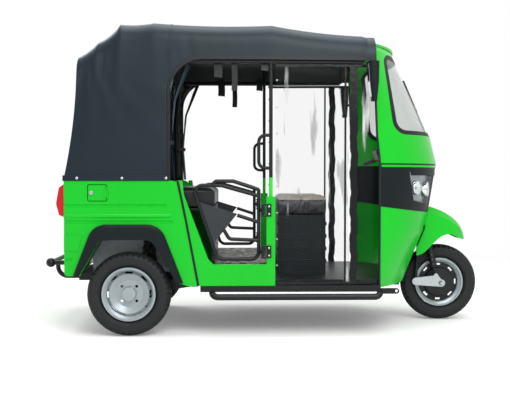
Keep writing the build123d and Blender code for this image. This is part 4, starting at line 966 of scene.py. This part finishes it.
def foam_block(name, outline, half, voxel):
    """Prism with side outline (x, z) and half width, made smaller by SHRINK and remeshed to even voxels."""
    outline = np.asarray(outline, float)
    centre = outline.mean(axis=0)
    outline = centre + (outline - centre) * (1 - SHRINK / (np.ptp(outline, axis=0) / 2))
    near, far = (xyz(outline[:, 0], y, outline[:, 1]) for y in (half - SHRINK, SHRINK - half))
    faces = [[0, 1, 2, 3], [7, 6, 5, 4]] + [[i, (i + 1) % 4, 4 + (i + 1) % 4, 4 + i] for i in range(4)]
    points = np.vstack([near, far])
    block = make_piece(name, [(points, faces)], FINISH["seat_vinyl"], crease=180)
    block.data.remesh_voxel_size = voxel
    with bpy.context.temp_override(object=block, active_object=block, selected_objects=[block]):
        bpy.ops.object.voxel_remesh()
    block.data.shade_smooth()
    return block


print("foam starts", SHRINK / MM, "mm small all round")

# %% [markdown]
# ## Stuffing and sewing
# A cloth simulation with pressure inside blows the block up, as foam fills its cover, and its movement is
# capped. The remesh has no seams, so the sewn channels are pressed in afterwards, and the whole is smoothed.

# %% Stuffing and sewn channels
PRESSURE, SWELL = 4, 0.022
STUFF_FRAMES = 20


def coords(mesh):
    """Vertex places as an array."""
    flat = np.empty(len(mesh.vertices) * 3)
    mesh.vertices.foreach_get("co", flat)
    return flat.reshape(-1, 3)


def stuff(block):
    """Blow the block up as cloth; no vertex moves further than SWELL."""
    rest = coords(block.data)
    cloth = block.modifiers.new("cloth", "CLOTH")
    cloth.settings.use_pressure = True
    cloth.settings.uniform_pressure_force = PRESSURE
    cloth.settings.effector_weights.gravity = 0
    for number in range(1, STUFF_FRAMES + 1):
        bpy.context.scene.frame_set(number)
    blown = block.evaluated_get(bpy.context.evaluated_depsgraph_get()).to_mesh()
    move = coords(blown) - rest
    block.modifiers.remove(cloth)
    bpy.context.scene.frame_set(1)
    size = np.maximum(np.linalg.norm(move, axis=1, keepdims=True), 1e-9)
    block.data.vertices.foreach_set("co", (rest + move * np.minimum(1, SWELL / size)).ravel())


def press(block, axis, places, depth, push):
    """Sewn channels: move by push * depth * exp(-(d / depth) ** 2), d the distance to the nearest place."""
    points = coords(block.data)
    gap = np.min(np.abs(points[:, axis, None] - places), axis=1)
    facing = np.empty(len(points) * 3)
    block.data.vertices.foreach_get("normal", facing)
    outer = np.clip(-(facing.reshape(-1, 3) @ np.asarray(push, float)), 0, 1)
    points += np.asarray(push, float) * (depth * np.exp(-(gap / depth) ** 2) * outer)[:, None]
    block.data.vertices.foreach_set("co", points.ravel())
    block.data.update()
    smooth = block.modifiers.new("smooth", "SUBSURF")
    smooth.levels = smooth.render_levels = 1


print("cushions swell by", SWELL / MM, "mm at most")

# %% [markdown]
# ## Seats
# The driver's seat has a taupe top with one seam across and dark sides. The bench and its back have seven
# sewn channels each. The bench is large, so its foam is meshed coarser than the driver's seat.

# %% Seats
DRIVER_OUTLINE = [(0.025, 0.705), (0.358, 0.705), (0.358, 0.820), (0.025, 0.820)]
BENCH_OUTLINE = [(-0.802, 0.76), (-0.337, 0.76), (-0.337, 0.87), (-0.802, 0.87)]
BACK_OUTLINE = [(-0.802, 0.76), (-0.862, 1.33), (-0.952, 1.33), (-0.912, 0.76)]

driver = foam_block("driver_seat_cushion", DRIVER_OUTLINE, half=0.27, voxel=0.007)
stuff(driver)
press(driver, axis=0, places=[0.19], depth=0.008, push=(0, 0, -1))
# Vinyl in two colours, sewn together below the edge: pale top, dark sides
driver.data.materials[0] = masked(TAUPE, "driver_seat_covers", "#17191C", (0, 0, 0), UPRIGHT, edge=0.803)
bench = foam_block("bench_seat_cushion", BENCH_OUTLINE, half=0.56, voxel=0.011)
stuff(bench)
press(bench, axis=1, places=np.linspace(-0.42, 0.42, 7), depth=0.010, push=(0, 0, -1))
back = foam_block("bench_back_cushion", BACK_OUTLINE, half=0.52, voxel=0.011)
stuff(back)
press(back, axis=1, places=np.linspace(-0.39, 0.39, 7), depth=0.010, push=(-1, 0, 0))
CUSHIONS = ((driver, "driver_seat", 0.8), (bench, "bench_cushion", 0.7), (back, "bench_backrest", 0.6))
for piece, node, fill in CUSHIONS:
    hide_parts(node)
    print(piece.name, len(piece.data.polygons), "faces")

# %% [markdown]
# ## Shape of the nose
# Lamps, brows and stripe sit on the cowl, whose plan is an arc at every height. The table gives that arc's
# ends and front, and a point on the cowl follows from an angle and a height.

# %% Points on the cowl
# height, x of the rear edge, half width there and x of the front
NOSE = np.array([(0.284, 0.637, 0.58, 0.877), (0.608, 0.637, 0.58, 1.022), (1.035, 0.637, 0.58, 1.092),
                 (1.200, 0.620, 0.575, 1.052), (1.705, 0.600, 0.555, 0.803), (1.752, 0.600, 0.515, 0.785)])
BAND_CENTRE = (0.459, 0, 0)


def nose_arc(z):
    """Radius and centre x of the cowl's plan arc at height z: R = (half ** 2 + sag ** 2) / (2 sag)."""
    rear_x, half, front = (np.interp(z, NOSE[:, 0], NOSE[:, i]) for i in (1, 2, 3))
    sag = front - rear_x
    reach = (half ** 2 + sag ** 2) / (2 * sag)
    return reach, front - reach


def on_nose(angle, z, out):
    """Point of the cowl at plan angle and height z, moved out along the radius."""
    reach, mid = nose_arc(z)
    return xyz(mid + (reach + out) * np.cos(angle), (reach + out) * np.sin(angle), z)


print("the nose is furthest forward at", NOSE[NOSE[:, 3].argmax(), 0], "m")

# %% [markdown]
# ## Headlamps
# Behind the clear lamp moulding sits a bright bowl for each beam in a plated housing, under a black brow.
# Bowls and bulbs are spun, the housing is a patch of the cowl moved inwards, and the brow follows the cowl.

# %% Headlamps
BOWL = np.array([(0, -0.026), (0.018, -0.023), (0.032, -0.014), (0.041, 0.0),
                 (0.044, 0.002), (0.046, 0.0), (0.046, -0.03), (0, -0.032)])
# plan angle in degrees, height and size of the two beams
BEAMS = ((25, 0.872, 1.05), (42, 0.880, 0.95))
BOWL_INSET, BULB_INSET, HOUSING_INSET = 0.014, 0.018, 0.04
BROW_ANGLES, BROW_Z = np.radians(np.linspace(16, 53, 20)), 0.972
LENS_LOW, LENS_CLIMB, LENS_HIGH, LENS_FRONT = 0.768, 0.034, 0.978, 0.172


def lamp_housing(side):
    """Plated back of the lamp, 40 mm inside the lens, between the lens's slanted edges."""
    h, v = np.meshgrid(np.linspace(0, 1, 24), np.linspace(0, 1, 16))
    low = LENS_LOW + LENS_CLIMB * h
    z = low + (LENS_HIGH - low) * v
    reach, mid = nose_arc(z)
    front = np.arcsin(LENS_FRONT / reach)
    rear = np.arccos(np.clip((0.872 - 0.041 * (z - 0.8) / 0.185 - mid) / reach, -1, 1))
    points = on_nose(front + (rear - front) * h, z, -HOUSING_INSET)
    return (points * (1, side, 1)).reshape(-1, 3), grid_faces(*h.shape)


bowls, bulbs, brows = [], [], []
for side in SIDES:
    for degrees, z, scale in BEAMS:
        angle = np.radians(degrees)
        place = on_nose(angle, z, -BOWL_INSET) * (1, side, 1)
        aim = unit((np.cos(angle) + 0.1, side * np.sin(angle), 0.05))
        bowls.append(spun(BOWL * scale, place, aim, 40))
        bulbs.append(spun(dome(0.011, 0.014), place - aim * BULB_INSET, aim, 20))
    brow = on_nose(BROW_ANGLES, BROW_Z, 0.0005) * (1, side, 1)
    brows.append(carried(brow, strip(0.03, 0.003), brow * (1, 1, 0) - BAND_CENTRE))
make_piece("lamp_bowls", bowls, CHROME, crease=60)
make_piece("lamp_bulbs", bulbs, FINISH["rim_silver"])
make_piece("lamp_brows", brows, FINISH["black_plastic"])
backs = [lamp_housing(side) for side in SIDES]
housings = make_piece("lamp_housings", backs, FINISH["rim_silver"])
thicken(housings, 0.002, (1, 0, 0))
print(len(bowls), "bowls under", len(brows), "brows")

# %% [markdown]
# ## Mirror glass
# The glass is set in the back of its housing, and narrows and leans with it.

# %% Mirror glass
MIRROR_LOW, MIRROR_TALL, MIRROR_HALF = 1.392, 0.228, 0.672
# share of the height, x of the housing's back and half width of the glass there
MIRROR_V, MIRROR_X, MIRROR_WIDE = (0, 0.5, 1), (0.568, 0.552, 0.543), (0.022, 0.036, 0.042)
GLASS_GAP, GLASS_THICK = 0.001, 0.0015

v, h = np.meshgrid(np.linspace(0.1, 0.93, 16), np.linspace(-1, 1, 12), indexing="ij")
glass_x = np.interp(v, MIRROR_V, MIRROR_X) - GLASS_GAP
glass_y = np.interp(v, MIRROR_V, MIRROR_WIDE) * h
glass_z = MIRROR_LOW + MIRROR_TALL * v
panes = [(xyz(glass_x, side * MIRROR_HALF + glass_y, glass_z).reshape(-1, 3), grid_faces(*v.shape))
         for side in SIDES]
thicken(make_piece("mirror_glasses", panes, CHROME), GLASS_THICK, (-1, 0, 0))
print(len(panes), "mirror glasses")

# %% [markdown]
# ## Trims
# Edges of pressed sheet are finished with rubber or tape: a dark line where the rear body meets the doorway,
# a bead down the cowl's rear edge. A green stripe runs round the nose over the lamp band.

# %% Trims
# x and height of the body's front edge, from sill to belt
BODY_EDGE_X, BODY_EDGE_Z = (-0.451, -0.523, -0.572), (0.300, 0.685, 0.922)
TRIM_HALF = 0.6198
STRIPE_ANGLES, STRIPE_Z = np.linspace(-1.31, 1.31, 90), 1.014

trim_z = np.linspace(0.922, 0.300, 40)
trim_x = np.interp(trim_z, BODY_EDGE_Z, BODY_EDGE_X)
edge_z = np.linspace(0.290, 1.700, 60)
edge_x, edge_y = (np.interp(edge_z, NOSE[:, 0], NOSE[:, i]) for i in (1, 2))
trims = [carried(xyz(trim_x, side * TRIM_HALF, trim_z), strip(0.014, 0.003), (0, side, 0)) for side in SIDES]
beads = [carried(xyz(edge_x - 0.002, side * (edge_y - 0.001), edge_z), round_bar(0.007), (0, side, 0))
         for side in SIDES]
stripe = on_nose(STRIPE_ANGLES, STRIPE_Z, 0.0003)
make_piece("cowl_stripe", [carried(stripe, strip(0.013, 0.002), stripe * (1, 1, 0) - BAND_CENTRE)],
           FINISH["green_paint"])
make_piece("body_trim_lines", trims, TAPE)
make_piece("cowl_edge_rubbers", beads, FINISH["grip_rubber"])
print(len(trims), "trim lines,", len(beads), "beads and a stripe")

# %% [markdown]
# ## Fastenings
# What is bolted shows its bolts. These bright dots make the size of the vehicle readable: domed heads on the
# door hinges, a lock on the fuel flap, and six-sided nuts on the front axle.

# %% Bolts, lock and nuts
HINGE_X, HINGE_HALF, HINGE_Z = -0.031, 0.625, (0.480, 0.525, 0.727, 0.772)
LOCK = [(0, 0.006), (0.010, 0.006), (0.0135, 0.003), (0.0135, -0.002), (0, -0.002)]
LOCK_PLACE = (-1.082, -0.6205, 0.853)
NUT = [(0, 0.010), (0.013, 0.010), (0.016, 0.007), (0.016, 0), (0, 0)]
NUT_HALF = 0.1275

bolts = [spun(dome(0.007, 0.004), (HINGE_X, side * HINGE_HALF, z), (0, side, 0))
         for side in SIDES for z in HINGE_Z]
make_piece("hinge_bolts", bolts, FINISH["bright_steel"])
lock = spun(LOCK, LOCK_PLACE, (0, -1, 0))
make_piece("flap_lock", [lock], FINISH["bright_steel"], "fuel_flap")
nuts = [spun(NUT, (FRONT_HUB[0], side * NUT_HALF, FRONT_HUB[2]), (0, side, 0), 6) for side in SIDES]
make_piece("axle_nuts", nuts, FINISH["bright_steel"], "steering", crease=20)
print(len(bolts), "bolts,", len(nuts), "axle nuts")
